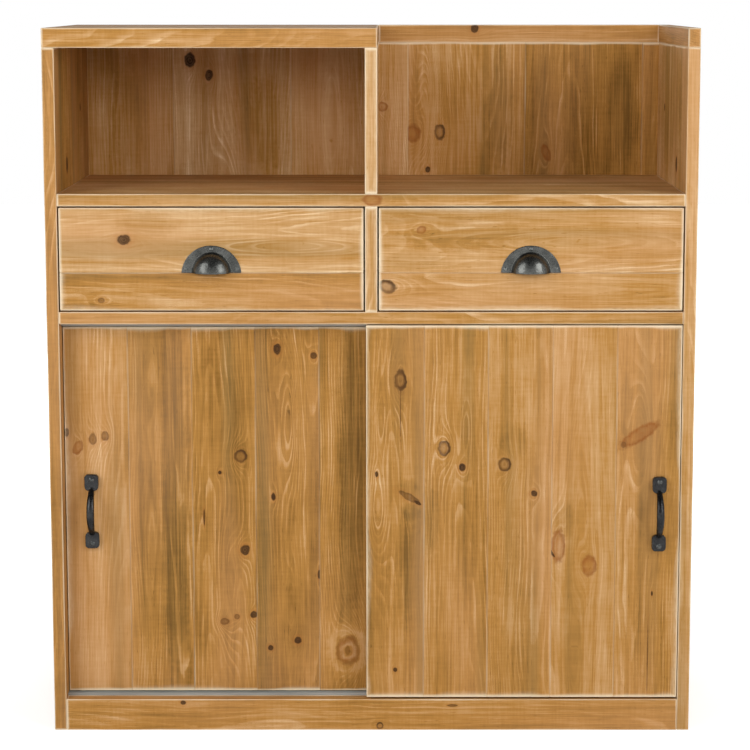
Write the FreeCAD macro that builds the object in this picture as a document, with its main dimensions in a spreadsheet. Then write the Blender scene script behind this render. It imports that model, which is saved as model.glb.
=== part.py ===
"""Pine cabinet: two open compartments over two drawers and two sliding doors.

Millimetres, +X to the right, front towards -Y, +Z up. The origin is on the floor, in the
middle of the object's footprint with the door pulls counted in.
"""
import FreeCAD, Part
import math
import os
import re

# Driving sizes: alias, value, what it measures
SIZES = [
    ("width", 1000, "over the two sides"),
    ("height", 1100, "floor to top"),
    ("depth", 400, "front edge of the sides to their back edge"),
    ("board", 19, "thickness of sides, shelves, dividers, plinth and drawer fronts"),
    ("top_thick", 30, "thickness of the top board and of the two caps"),
    ("plinth_high", 50, "floor to the top of the plinth and of the bottom board"),
    ("cubby_high", 222, "clear height of the open compartments"),
    ("drawer_opening", 163, "clear height of the drawer openings"),
    ("arris", 1.5, "radius of the softened front edges"),
    ("housing_deep", 6, "depth of the housings that hold the shelf ends"),
    ("housing_stop", 12, "distance the housings stop short of the front"),
    ("back_thick", 15, "thickness of the back boards"),
    ("back_lap", 9, "width of the rebate that takes the back boards"),
    ("back_low", 12, "floor to the foot of the back boards"),
    ("back_first", 154, "face width of the first back board"),
    ("back_pitch", 197.5, "face width of the following back boards"),
    ("tongue_deep", 6, "reach of the tongues on the back boards"),
    ("tongue_thick", 5, "thickness of those tongues"),
    ("tongue_clear", 0.5, "room past each tongue"),
    ("back_screw_inset", 9.5, "a back screw's height over a shelf's underside"),
    ("wood_screw", 4, "shank diameter of the wood screws"),
    ("wood_screw_head", 8, "head diameter of the wood screws"),
    ("wood_screw_cap", 2, "height of the screw heads"),
    ("back_screw_long", 40, "length of the back screws"),
    ("screw_clear", 0.1, "room round and past every screw"),
    ("dowel", 8, "diameter of the dowels"),
    ("dowel_long", 36, "length of the dowels in the top"),
    ("dowel_short", 24, "length of the dowels that enter a board through its face"),
    ("dowel_clear", 0.1, "room round and past every dowel"),
    ("dowel_inset", 60, "first and last dowel to the edge of their board"),
    ("inner_shelf_low", 340, "floor to the underside of the inner shelf"),
    ("shelf_play", 1.5, "room at each end of the inner shelf"),
    ("shelf_setback", 20, "inner shelf's front edge behind the rear door"),
    ("pin", 5, "diameter of the shelf pins"),
    ("pin_long", 20, "length of the shelf pins, half of it in the side"),
    ("pin_inset", 45, "shelf pin to the edge of the inner shelf"),
    ("drawer_gap", 2.3, "gap round each drawer front"),
    ("front_board", 100, "height of the upper board of a drawer front"),
    ("drawer_play", 3, "room beside each drawer box"),
    ("drawer_side", 14, "thickness of drawer sides and back"),
    ("drawer_side_high", 120, "height of the drawer sides"),
    ("drawer_lift", 8, "drawer sides above the lower shelf"),
    ("drawer_room", 21, "drawer boxes before the back boards"),
    ("side_housing", 5, "depth of the housings for the sides in the drawer front"),
    ("drawer_floor", 6, "thickness of the drawer floor"),
    ("floor_raise", 10, "drawer floor above the foot of the sides"),
    ("floor_groove", 5, "depth of the grooves that hold the floor"),
    ("floor_clear", 0.5, "room past the floor's edges in their grooves"),
    ("back_drop", 15, "drawer back below the top of the sides"),
    ("runner_high", 16, "height of the wooden runners"),
    ("runner_wide", 10, "reach of the runners from the carcass"),
    ("runner_raise", 60, "runners above the lower shelf"),
    ("runner_stop", 30, "front end of the runners behind the drawer front"),
    ("runner_short", 20, "rear end of the runners before the back boards"),
    ("runner_clear", 1, "room past the runners in the drawer sides' grooves"),
    ("slide_clear", 0.3, "room between sliding faces"),
    ("cup_radius", 46.5, "outline radius of a cup pull's flange"),
    ("cup_high", 42.6, "height of that flange"),
    ("cup_flange", 2, "thickness of that flange"),
    ("cup_border", 16.5, "flange left and right of the cup"),
    ("cup_brow", 11.1, "flange above the cup"),
    ("cup_reach", 24, "how far the cup stands out of the drawer front"),
    ("cup_wall", 2.5, "wall of the cup"),
    ("cup_screw_edge", 7.5, "lower screws of a cup pull to its outline"),
    ("cup_screw_low", 6.5, "lower screws above the cup's mouth"),
    ("cup_screw_brow", 5.3, "upper screw below the top of the flange"),
    ("cup_screw", 3, "shank diameter of the cup pull's screws"),
    ("cup_screw_head", 6, "head diameter of those screws"),
    ("cup_screw_cap", 1.4, "height of those heads"),
    ("cup_screw_long", 13, "length of those screws in the drawer front"),
    ("door_thick", 19, "thickness of the doors"),
    ("door_setback", 1, "front door's face behind the carcass front"),
    ("door_pass", 1.6, "rear door behind the axle heads of the front door"),
    ("door_overlap", 16, "overlap of the closed doors"),
    ("door_gap", 1.2, "closed door to the carcass side"),
    ("door_lift", 3.5, "front door above the plinth"),
    ("door_drop", 2, "front door below the lower shelf"),
    ("door_foot", 1, "rear door above the lower track"),
    ("door_run", 2.3, "rear door below the upper track"),
    ("stave", 99.5, "width of a full stave of a door"),
    ("stave_arris", 0.8, "radius of the staves' softened front edges"),
    ("track_gap", 1, "tracks behind the front door"),
    ("track_edge", 5, "tracks behind the middle of their rear channel"),
    ("track_high", 4, "height of the lower track"),
    ("track_floor", 1.5, "metal left under or over a channel"),
    ("guide_high", 6, "height of the upper track"),
    ("channel_play", 1, "room beside wheels and guide pins in their channels"),
    ("track_screw", 3, "shank diameter of the track screws"),
    ("track_screw_head", 5.6, "head diameter of the track screws"),
    ("track_screw_cap", 1.2, "height of those heads"),
    ("track_screw_long", 17, "length of those screws"),
    ("track_screw_inset", 40, "first and last track screw to the track's end"),
    ("wheel", 20, "diameter of the door wheels"),
    ("wheel_wide", 4, "width of the door wheels"),
    ("wheel_hub", 8, "diameter of a wheel's hub"),
    ("wheel_rim", 3, "thickness of a wheel's rim"),
    ("wheel_web", 2, "thickness of a wheel's web"),
    ("wheel_lift", 0.3, "room under the wheels"),
    ("wheel_offset", 6, "middle of a wheel behind its door"),
    ("axle", 4, "diameter of the wheel axles"),
    ("axle_clear", 0.05, "room round an axle"),
    ("axle_head", 7, "diameter of the head that keeps a wheel on"),
    ("axle_head_thick", 1, "thickness of that head"),
    ("axle_side", 0.4, "room on each side of a wheel"),
    ("roller_inset", 60, "wheel axle to the door's edge"),
    ("plate_wide", 30, "width of the roller brackets"),
    ("plate_high", 36, "height of the roller brackets"),
    ("plate_thick", 2, "thickness of brackets and guides"),
    ("plate_clear", 1.8, "roller brackets above the lower track"),
    ("guide_pin", 5, "diameter of the top guide pins"),
    ("guide_pin_top", 1.5, "top of a guide pin below the channel's roof"),
    ("guide_wide", 20, "width of a top guide"),
    ("guide_plate", 28, "height of a top guide's plate"),
    ("guide_arm", 4, "thickness of a top guide's arm"),
    ("guide_low", 2.6, "top guide's arm below the upper track"),
    ("handle_long", 118, "length of a door pull"),
    ("handle_reach", 30, "how far a door pull stands out"),
    ("pad_wide", 22, "width of a pull's end pads"),
    ("pad_long", 26, "length of the end pads"),
    ("pad_thick", 8, "thickness of the end pads"),
    ("pad_round", 6, "radius of the pads' outer corners"),
    ("pad_shoulder", 7, "radius of the pads' shoulders beside the bar"),
    ("bar_wide", 12.4, "width of the bowed bar at its middle"),
    ("bar_thick", 8.5, "thickness of the bowed bar at its middle"),
    ("bar_taper", 0.35, "share of that size lost towards the pads"),
    ("bar_sink", 5, "bar's end inside a pad"),
    ("handle_screw_inset", 8, "pull screw to the pad's outer end"),
    ("handle_screw_long", 14, "length of a pull screw in the door"),
    ("left_handle_inset", 41, "left pull to its door's edge"),
    ("right_handle_inset", 32, "right pull to its door's edge"),
]

# Places worked out from the driving sizes
PLACES = {
    "reach": "handle_reach - door_setback",
    "front": "(reach - depth) / 2",
    "back": "front + depth",
    "back_face": "back - back_thick",
    "inner": "width / 2 - board",
    "post": "board / 2",
    "top_under": "height - top_thick",
    "shelf_top": "top_under - cubby_high",
    "shelf_under": "shelf_top - board",
    "lower_top": "shelf_under - drawer_opening",
    "lower_under": "lower_top - board",
    "floor_under": "plinth_high - board",
    "back_left": "-(inner + back_lap)",
    "front_door_face": "front + door_setback",
    "front_door_back": "front_door_face + door_thick",
    "axle_end": "wheel_offset + wheel_wide / 2 + axle_side + axle_head_thick",
    "rear_door_face": "front_door_back + axle_end + door_pass",
    "rear_door_back": "rear_door_face + door_thick",
    "door_wide": "inner + door_overlap / 2 - door_gap",
    "track_front": "front_door_back + track_gap",
    "track_back": "rear_door_back + wheel_offset + track_edge",
    "track_top": "plinth_high + track_high",
    "wheel_channel": "wheel_wide + 2 * channel_play",
    "guide_channel": "guide_pin + 2 * channel_play",
    "guide_under": "lower_under - guide_high",
    "axle_z": "plinth_high + track_floor + wheel_lift + wheel / 2",
    "drawer_half": "(inner - post) / 2",
    "box_half": "drawer_half - drawer_play",
    "box_front": "front + board",
    "box_back": "back_face - drawer_room",
    "side_foot": "lower_top + drawer_lift",
    "side_top": "side_foot + drawer_side_high",
    "floor_z": "side_foot + floor_raise",
    "runner_z": "lower_top + runner_raise",
    "runner_groove": "runner_wide - drawer_play + runner_clear",
    "seam": "shelf_under - drawer_gap - front_board",
    "cup_half": "cup_radius - cup_border",
    "cup_rise": "cup_high - cup_brow",
    "cup_screw_side": "cup_radius - cup_screw_edge",
    "cup_screw_high": "cup_high - cup_screw_brow",
    "bar_half": "handle_long / 2 - pad_long + bar_sink",
    "bar_start": "pad_thick / 2",
    "bar_rise": "handle_reach - bar_thick / 2 - bar_start",
}

WORD = re.compile(r"[a-z_]+")
FUNCTIONS = {"atan"}
# A block's edges at its front: left, right, lower and upper
FRONT_EDGES = (1, 5, 9, 10)
LOWER_FRONT_EDGES = (1, 5, 9)
UPPER_FRONT_EDGES = (1, 5, 10)
# A block's edges from front to back: at its upper corners and at its lower ones
UPPER_CORNERS = (2, 6)
LOWER_CORNERS = (4, 8)
ALONG = {
    "x": FreeCAD.Rotation(FreeCAD.Vector(0, 1, 0), 90),
    "y": FreeCAD.Rotation(FreeCAD.Vector(1, 0, 0), -90),
    "z": FreeCAD.Rotation(),
}
PIN_PLACES = ("rear_door_back + shelf_setback + pin_inset", "back_face - pin_inset")
BAR_STATIONS = (-1, -0.7, -0.35, 0, 0.35, 0.7, 1)
TRACK_SCREWS = 5
LEFT = -1
RIGHT = 1

doc = FreeCAD.newDocument("cabinet")
sheet = doc.addObject("Spreadsheet::Sheet", "Sizes")
nodes = {}


def fill_sheet():
    """Write every driving size into the sheet under its alias."""
    for row, (alias, size, note) in enumerate(SIZES, 1):
        sheet.set(f"A{row}", note)
        sheet.set(f"B{row}", str(size))
        sheet.setAlias(f"B{row}", alias)
    doc.recompute()


def formula(text):
    """Turn the names of sizes and places in a text into a sheet expression."""

    def swap(match):
        word = match.group(0)
        if word in FUNCTIONS:
            return word
        if word in PLACES:
            return "(" + formula(PLACES[word]) + ")"
        return "Sizes." + word

    return WORD.sub(swap, text)


def bind(thing, name, text):
    thing.setExpression(name, formula(text))


def value(text):
    return float(sheet.evalExpression(formula(text)))


def span(side, near, far):
    """The stretch from near to far along X, mirrored for the left side."""
    if side == RIGHT:
        return (near, far)
    return (f"-({far})", f"-({near})")


def about(middle, length):
    """The stretch of a length about its middle."""
    return (f"{middle} - ({length}) / 2", f"{middle} + ({length}) / 2")


def box(x, y, z):
    """A block between two places along each axis."""
    block = doc.addObject("Part::Box", "Block")
    for edge, axis, (low, high) in zip(("Length", "Width", "Height"), "xyz", (x, y, z)):
        bind(block, edge, f"({high}) - ({low})")
        bind(block, f"Placement.Base.{axis}", low)
    return block


def rounded(block, *rounds):
    """A block with groups of its edges rounded, each group to a size of its own."""
    soft = doc.addObject("Part::Fillet", "Rounded")
    soft.Base = block
    soft.Edges = [(edge, value(size), value(size)) for edges, size in rounds for edge in edges]
    return soft


def eased(block, edges=FRONT_EDGES, size="arris"):
    """A block with edges of its front face softened."""
    return rounded(block, (edges, size))


def rod(axis, start, diameter, length):
    """A round bar along an axis, from a start point towards the axis' plus side."""
    bar = doc.addObject("Part::Cylinder", "Rod")
    bar.Placement = FreeCAD.Placement(FreeCAD.Vector(), ALONG[axis])
    for name, place in zip("xyz", start):
        bind(bar, f"Placement.Base.{name}", place)
    bind(bar, "Radius", f"({diameter}) / 2")
    bind(bar, "Height", length)
    return bar


def cut(base, tools):
    """Take tools out of a solid, one after the other."""
    for tool in tools:
        result = doc.addObject("Part::Cut", "Cut")
        result.Base = base
        result.Tool = tool
        result.Refine = True
        base = result
    return base


def fuse(solids):
    result = doc.addObject("Part::MultiFuse", "Joined")
    result.Shapes = solids
    result.Refine = True
    return result


def common(base, tool):
    result = doc.addObject("Part::Common", "Overlap")
    result.Base = base
    result.Tool = tool
    return result


def node(label, solid):
    """Hand a finished solid in under its own name."""
    solid.Label = label
    nodes[label] = solid
    return solid


def group(label, solids):
    """Hand in separate like solids under one name."""
    bundle = doc.addObject("Part::Compound", "Group")
    bundle.Links = solids
    return node(label, bundle)


def screw(start, kind, length):
    """A screw that enters along +Y with its head on the surface, and the hole for its shank."""
    x, y, z = start
    head = rod("y", (x, f"{y} - {kind}_cap", z), f"{kind}_head", f"{kind}_cap")
    shank = rod("y", (x, y, z), kind, length)
    hole = rod("y", start, f"{kind} + 2 * screw_clear", f"{length} + screw_clear")
    return fuse([head, shank]), hole


def sunk_screw(axis, at, kind, length, way):
    """A screw with its head flush in a surface, and the hole that it needs.

    It enters along the axis, towards its plus side where way is 1 and else towards its minus side.
    """
    surface = dict(zip("xyz", at))[axis]

    def along(depth):
        place = dict(zip("xyz", at))
        place[axis] = surface if way == 1 else f"{surface} - ({depth})"
        return tuple(place.values())

    head = rod(axis, along(f"{kind}_cap"), f"{kind}_head", f"{kind}_cap")
    shank = rod(axis, along(length), kind, length)
    head_hole = rod(axis, along(f"{kind}_cap"), f"{kind}_head + 2 * screw_clear", f"{kind}_cap")
    hole_long = f"{length} + screw_clear"
    shank_hole = rod(axis, along(hole_long), f"{kind} + 2 * screw_clear", hole_long)
    return fuse([head, shank]), fuse([head_hole, shank_hole])


# Dowels: where they are, and the holes that they need in each board
dowels = []
dowel_holes = {}


def dowel(axis, middle, boards, length="dowel_long"):
    """A dowel across the joint of two boards, half of it in each."""
    start = dict(zip("xyz", middle))
    start[axis] = f"{start[axis]} - {length} / 2"
    dowels.append(rod(axis, tuple(start.values()), "dowel", length))
    start[axis] = f"{start[axis]} - dowel_clear"
    hole_wide = "dowel + 2 * dowel_clear"
    for name in boards:
        hole = rod(axis, tuple(start.values()), hole_wide, f"{length} + 2 * dowel_clear")
        dowel_holes.setdefault(name, []).append(hole)


def place_dowels():
    across = ("front + dowel_inset", "(front + back) / 2", "back - dowel_inset")
    for y in across:
        dowel("z", ("-(inner + board / 2)", y, "top_under"), ("left_side", "top_board"))
        dowel("z", ("0", y, "top_under"), ("upper_divider", "top_board"))
        dowel("z", ("inner + board / 2", y, "top_under"), ("right_side", "right_side_cap"))
    rail_y = "back - back_thick / 2"
    rail_z = "height - top_thick / 2"
    dowel("x", ("post", rail_y, rail_z), ("top_board", "back_cap_rail"))
    for side, name in ((LEFT, "left_side"), (RIGHT, "right_side")):
        plinth_end = (f"{side} * inner", "front + board / 2", "plinth_high / 2")
        dowel("x", plinth_end, (name, "plinth"), "dowel_short")
    dowel("x", ("inner", rail_y, rail_z), ("right_side_cap", "back_cap_rail"), "dowel_short")


def make_sides():
    for side, name in ((LEFT, "left_side"), (RIGHT, "right_side")):
        panel = eased(box(span(side, "inner", "width / 2"), ("front", "back"), ("0", "top_under")))
        housing = span(side, "inner", "inner + housing_deep")
        shelf_run = ("front + housing_stop", "back_face")
        pin_hole, _ = span(side, "inner", "inner + pin_long / 2")
        cuts = [
            box(span(side, "inner", "inner + back_lap"), ("back_face", "back"), ("0", "top_under")),
            box(housing, shelf_run, ("shelf_under", "shelf_top")),
            box(housing, shelf_run, ("lower_under", "lower_top")),
            box(housing, ("front + board", "back_face"), ("floor_under", "plinth_high")),
        ]
        for y in PIN_PLACES:
            start = (pin_hole, y, "inner_shelf_low - pin / 2")
            cuts.append(rod("x", start, "pin + 2 * screw_clear", "pin_long / 2"))
        node(name, cut(panel, cuts + dowel_holes[name]))


def make_top():
    top_run = ("top_under", "height")
    whole = ("front", "back")
    top = eased(box(("-width / 2", "post"), whole, top_run))
    node("top_board", cut(top, dowel_holes["top_board"]))
    cap = eased(box(("inner", "width / 2"), whole, top_run))
    node("right_side_cap", cut(cap, dowel_holes["right_side_cap"]))
    rail = box(("post", "inner"), ("back_face", "back"), top_run)
    node("back_cap_rail", cut(rail, dowel_holes["back_cap_rail"]))


def make_shelves(screw_holes):
    """The two fixed shelves, notched in front of their stopped housings."""
    for name, low, high in (
        ("middle_shelf", "shelf_under", "shelf_top"),
        ("lower_shelf", "lower_under", "lower_top"),
    ):
        reach = "inner + housing_deep"
        shelf = eased(box((f"-({reach})", reach), ("front", "back_face"), (low, high)))
        notch_y = ("front", "front + housing_stop")
        notches = [box(span(side, "inner", reach), notch_y, (low, high)) for side in (LEFT, RIGHT)]
        node(name, cut(shelf, notches + screw_holes[name]))
    bottom = box(
        ("-(inner + housing_deep)", "inner + housing_deep"),
        ("front + board", "back_face"),
        ("floor_under", "plinth_high"),
    )
    node("bottom_board", cut(bottom, screw_holes["bottom_board"]))
    plinth = eased(box(("-inner", "inner"), ("front", "front + board"), ("0", "plinth_high")))
    node("plinth", cut(plinth, dowel_holes["plinth"]))


def make_dividers():
    middle = ("-post", "post")
    run = ("front", "back_face")
    upper = eased(box(middle, run, ("shelf_top", "top_under")))
    node("upper_divider", cut(upper, dowel_holes["upper_divider"]))
    node("drawer_divider", eased(box(middle, run, ("lower_top", "shelf_under"))))


def back_board_edges():
    """Left edge of every back board and the right edge of the last."""
    left = value("back_left")
    room = -2 * left - value("back_first")
    full = max(0, math.ceil(room / value("back_pitch")) - 1)
    inside = [f"back_left + back_first + {k} * back_pitch" for k in range(full + 1)]
    return ["back_left"] + inside + ["-back_left"]


def make_back():
    """Tongue-and-groove boards, screwed to the shelves; gives the shelves their screw holes."""
    edges = back_board_edges()
    tongue_y = about("(back_face + back) / 2", "tongue_thick")
    groove_y = about("(back_face + back) / 2", "tongue_thick + 2 * screw_clear")
    tall = ("back_low", "top_under")
    rows = {"middle_shelf": "shelf_under", "lower_shelf": "lower_under", "bottom_board": "floor_under"}
    holes = {name: [] for name in rows}
    boards = []
    screws = []
    for number, (left, right) in enumerate(zip(edges, edges[1:])):
        board = box((left, right), ("back_face", "back"), tall)
        if right != edges[-1]:
            board = fuse([board, box((right, f"{right} + tongue_deep"), tongue_y, tall)])
        tools = []
        if number:
            tools.append(box((left, f"{left} + tongue_deep + tongue_clear"), groove_y, tall))
        for name, low in rows.items():
            at = (f"(({left}) + ({right})) / 2", "back", f"{low} + back_screw_inset")
            fixing, hole = sunk_screw("y", at, "wood_screw", "back_screw_long", -1)
            screws.append(fixing)
            tools.append(hole)
            holes[name].append(hole)
        boards.append(cut(board, tools))
    group("back_boards", boards)
    group("back_screws", screws)
    return holes


def make_inner_shelf():
    node(
        "inner_shelf",
        box(
            ("-(inner - shelf_play)", "inner - shelf_play"),
            ("rear_door_back + shelf_setback", "back_face - shelf_play"),
            ("inner_shelf_low", "inner_shelf_low + board"),
        ),
    )
    pins = []
    for side in (LEFT, RIGHT):
        for y in PIN_PLACES:
            start = (f"{side} * inner - pin_long / 2", y, "inner_shelf_low - pin / 2")
            pins.append(rod("x", start, "pin", "pin_long"))
    group("shelf_pins", pins)


def track_middles():
    """Middle of the front and of the rear channel."""
    return ("front_door_back + wheel_offset", "rear_door_back + wheel_offset")


def make_tracks(holes):
    """The two double tracks and their screws, which add to the holes in the boards."""
    whole = ("-inner", "inner")
    screw_y = "(front_door_back + rear_door_back) / 2 + wheel_offset"
    screws = []
    track_holes = {"lower": [], "upper": []}
    for number in range(TRACK_SCREWS):
        step = f"{number} * 2 * (inner - track_screw_inset) / {TRACK_SCREWS - 1}"
        x = f"-(inner - track_screw_inset) + {step}"
        for name, board, z, way in (
            ("lower", "bottom_board", "track_top", -1),
            ("upper", "lower_shelf", "guide_under", 1),
        ):
            fixing, hole = sunk_screw("z", (x, screw_y, z), "track_screw", "track_screw_long", way)
            screws.append(fixing)
            track_holes[name].append(hole)
            holes[board].append(hole)
    lower = box(whole, ("track_front", "track_back"), ("plinth_high", "track_top"))
    upper = box(whole, ("track_front", "track_back"), ("guide_under", "lower_under"))
    lower_z = ("plinth_high + track_floor", "track_top")
    upper_z = ("guide_under", "lower_under - track_floor")
    lower_cuts = [box(whole, about(y, "wheel_channel"), lower_z) for y in track_middles()]
    upper_cuts = [box(whole, about(y, "guide_channel"), upper_z) for y in track_middles()]
    node("lower_track", cut(lower, lower_cuts + track_holes["lower"]))
    node("upper_track", cut(upper, upper_cuts + track_holes["upper"]))
    group("track_screws", screws)


def make_runners():
    run = ("box_front + runner_stop + slide_clear", "back_face - runner_short")
    tall = ("runner_z", "runner_z + runner_high")
    for side, name in ((LEFT, "left_drawer"), (RIGHT, "right_drawer")):
        outer = span(side, "inner - runner_wide", "inner")
        middle = span(side, "post", "post + runner_wide")
        node(f"{name}_outer_runner", box(outer, run, tall))
        node(f"{name}_middle_runner", box(middle, run, tall))


def make_drawer(side, name):
    middle = f"{side} * (inner + post) / 2"
    sides = [
        (f"{middle} - box_half", f"{middle} - box_half + drawer_side"),
        (f"{middle} + box_half - drawer_side", f"{middle} + box_half"),
    ]
    side_y = ("box_front - side_housing", "box_back")
    side_z = ("side_foot", "side_top")
    floor_z = ("floor_z", "floor_z + drawer_floor")
    floor_reach = "box_half - drawer_side + floor_groove"
    floor_y = ("box_front - floor_groove", "box_back")
    floor_slot = box(about(middle, f"2 * ({floor_reach})"), floor_y, floor_z)

    pull, screws, holes = make_cup_pull(middle)
    housings = [box(x, ("box_front - side_housing", "box_front"), side_z) for x in sides]
    front_x = about(middle, "2 * (drawer_half - drawer_gap)")
    front_y = ("front", "box_front")
    lower = box(front_x, front_y, ("lower_top + drawer_gap", "seam"))
    lower = eased(lower, LOWER_FRONT_EDGES)
    upper = box(front_x, front_y, ("seam", "shelf_under - drawer_gap"))
    upper = eased(upper, UPPER_FRONT_EDGES)
    group(f"{name}_front", [cut(lower, housings + [floor_slot]), cut(upper, housings + holes)])

    groove_y = ("box_front + runner_stop", "box_back")
    groove_z = ("runner_z - slide_clear", "runner_z + runner_high + slide_clear")
    grooves = [
        (sides[0][0], f"{sides[0][0]} + runner_groove"),
        (f"{sides[1][1]} - runner_groove", sides[1][1]),
    ]
    for word, x, groove_x in zip(("left", "right"), sides, grooves):
        blank = box(x, side_y, side_z)
        node(f"{name}_{word}_side", cut(blank, [box(groove_x, groove_y, groove_z), floor_slot]))

    between = (sides[0][1], sides[1][0])
    back_z = ("floor_z + drawer_floor", "side_top - back_drop")
    node(f"{name}_back", box(between, ("box_back - drawer_side", "box_back"), back_z))
    panel_x = about(middle, f"2 * ({floor_reach} - floor_clear)")
    panel_y = ("box_front - floor_groove + floor_clear", "box_back")
    node(f"{name}_floor", box(panel_x, panel_y, floor_z))
    node(f"{name}_cup_pull", pull)
    group(f"{name}_pull_screws", screws)


def half_egg(middle, half_wide, reach, rise, turn):
    """The upper half of an egg, or the quarter of it that stands in front of the face."""
    egg = doc.addObject("Part::Ellipsoid", "Egg")
    egg.Placement = FreeCAD.Placement(
        FreeCAD.Vector(), FreeCAD.Rotation(FreeCAD.Vector(0, 0, 1), 180)
    )
    for name, text in (("Radius1", rise), ("Radius2", half_wide), ("Radius3", reach)):
        bind(egg, name, text)
    for name, place in zip("xyz", (middle, "front", "seam")):
        bind(egg, f"Placement.Base.{name}", place)
    egg.Angle1 = 0
    egg.Angle2 = 90
    egg.Angle3 = turn
    return egg


def make_cup_pull(middle):
    """A hollow cup, open below and behind, on a flange with three screws."""
    face = "front - cup_flange"
    disc_start = (middle, face, "seam + cup_high - cup_radius")
    disc = rod("y", disc_start, "2 * cup_radius", "cup_flange")
    above = box(about(middle, "2 * cup_radius"), (face, "front"), ("seam", "seam + cup_high"))
    flange = common(disc, above)
    outer = half_egg(middle, "cup_half", "cup_reach", "cup_rise", 180)
    inner = half_egg(
        middle, "cup_half - cup_wall", "cup_reach - cup_wall", "cup_rise - cup_wall", 360
    )
    places = (
        (f"{middle} - cup_screw_side", "seam + cup_screw_low"),
        (f"{middle} + cup_screw_side", "seam + cup_screw_low"),
        (middle, "seam + cup_screw_high"),
    )
    fixings = [
        screw((x, face, z), "cup_screw", "cup_screw_long + cup_flange") for x, z in places
    ]
    screws = [fixing for fixing, hole in fixings]
    holes = [hole for fixing, hole in fixings]
    return cut(fuse([flange, outer]), [inner] + holes), screws, holes


def stave_edges(side, left, right):
    """Joints between a door's staves: full staves start at the edge by the carcass side."""
    whole = math.floor(value("door_wide") / value("stave"))
    if side == LEFT:
        return [left] + [f"{left} + {k} * stave" for k in range(1, whole + 1)] + [right]
    return [left] + [f"{right} - {k} * stave" for k in range(whole, 0, -1)] + [right]


def make_door(side, name, face, rear, low, high, inset):
    near = "inner - door_gap"
    left, right = span(side, f"{near} - door_wide", near)
    handle_x = f"{side} * ({near} - {inset})"
    handle_z = f"(({low}) + ({high})) / 2"
    handle, screws, holes = make_handle(handle_x, face, handle_z)
    edges = stave_edges(side, left, right)
    staves = []
    for stave_left, stave_right in zip(edges, edges[1:]):
        blank = box((stave_left, stave_right), (face, rear), (low, high))
        blank = eased(blank, size="stave_arris")
        reach = (value(f"{stave_left} - wood_screw"), value(f"{stave_right} + wood_screw"))
        holds_screw = reach[0] < value(handle_x) < reach[1]
        staves.append(cut(blank, holes) if holds_screw else blank)
    group(f"{name}_panel", staves)
    node(f"{name}_handle", handle)
    group(f"{name}_handle_screws", screws)

    brackets = []
    guides = []
    for word, x in (("left", f"{left} + roller_inset"), ("right", f"{right} - roller_inset")):
        brackets.append(make_bracket(x, rear))
        guides.append(make_guide(x, rear))
        node(f"{name}_{word}_wheel", make_wheel(x, rear))
    group(f"{name}_roller_brackets", brackets)
    group(f"{name}_top_guides", guides)


def make_bracket(x, rear):
    """A plate behind the door with a headed axle."""
    plate_z = ("track_top + plate_clear", "track_top + plate_clear + plate_high")
    plate = box(about(x, "plate_wide"), (rear, f"{rear} + plate_thick"), plate_z)
    head_y = f"{rear} + axle_end - axle_head_thick"
    axle = rod("y", (x, rear, "axle_z"), "axle", "axle_end")
    head = rod("y", (x, head_y, "axle_z"), "axle_head", "axle_head_thick")
    return fuse([plate, axle, head])


def make_wheel(x, rear):
    """A wheel with rim, web and hub, bored for its axle."""
    low = f"{rear} + wheel_offset - wheel_wide / 2"
    web_low = f"{rear} + wheel_offset - wheel_web / 2"
    tyre = cut(
        rod("y", (x, low, "axle_z"), "wheel", "wheel_wide"),
        [rod("y", (x, low, "axle_z"), "wheel - 2 * wheel_rim", "wheel_wide")],
    )
    web = rod("y", (x, web_low, "axle_z"), "wheel - wheel_rim", "wheel_web")
    hub = rod("y", (x, low, "axle_z"), "wheel_hub", "wheel_wide")
    bore = rod("y", (x, low, "axle_z"), "axle + 2 * axle_clear", "wheel_wide")
    return cut(fuse([tyre, web, hub]), [bore])


def make_guide(x, rear):
    """A plate behind the door with an arm and a pin that runs in the upper track."""
    arm_z = ("guide_under - guide_low - guide_arm", "guide_under - guide_low")
    plate_z = (f"{arm_z[1]} - guide_plate", arm_z[1])
    plate = box(about(x, "guide_wide"), (rear, f"{rear} + plate_thick"), plate_z)
    arm = box(about(x, "guide_wide"), (rear, f"{rear} + wheel_offset + guide_pin / 2"), arm_z)
    pin_long = "guide_high - track_floor - guide_pin_top + guide_low + guide_arm"
    pin = rod("z", (x, f"{rear} + wheel_offset", arm_z[0]), "guide_pin", pin_long)
    return fuse([plate, arm, pin])


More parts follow.
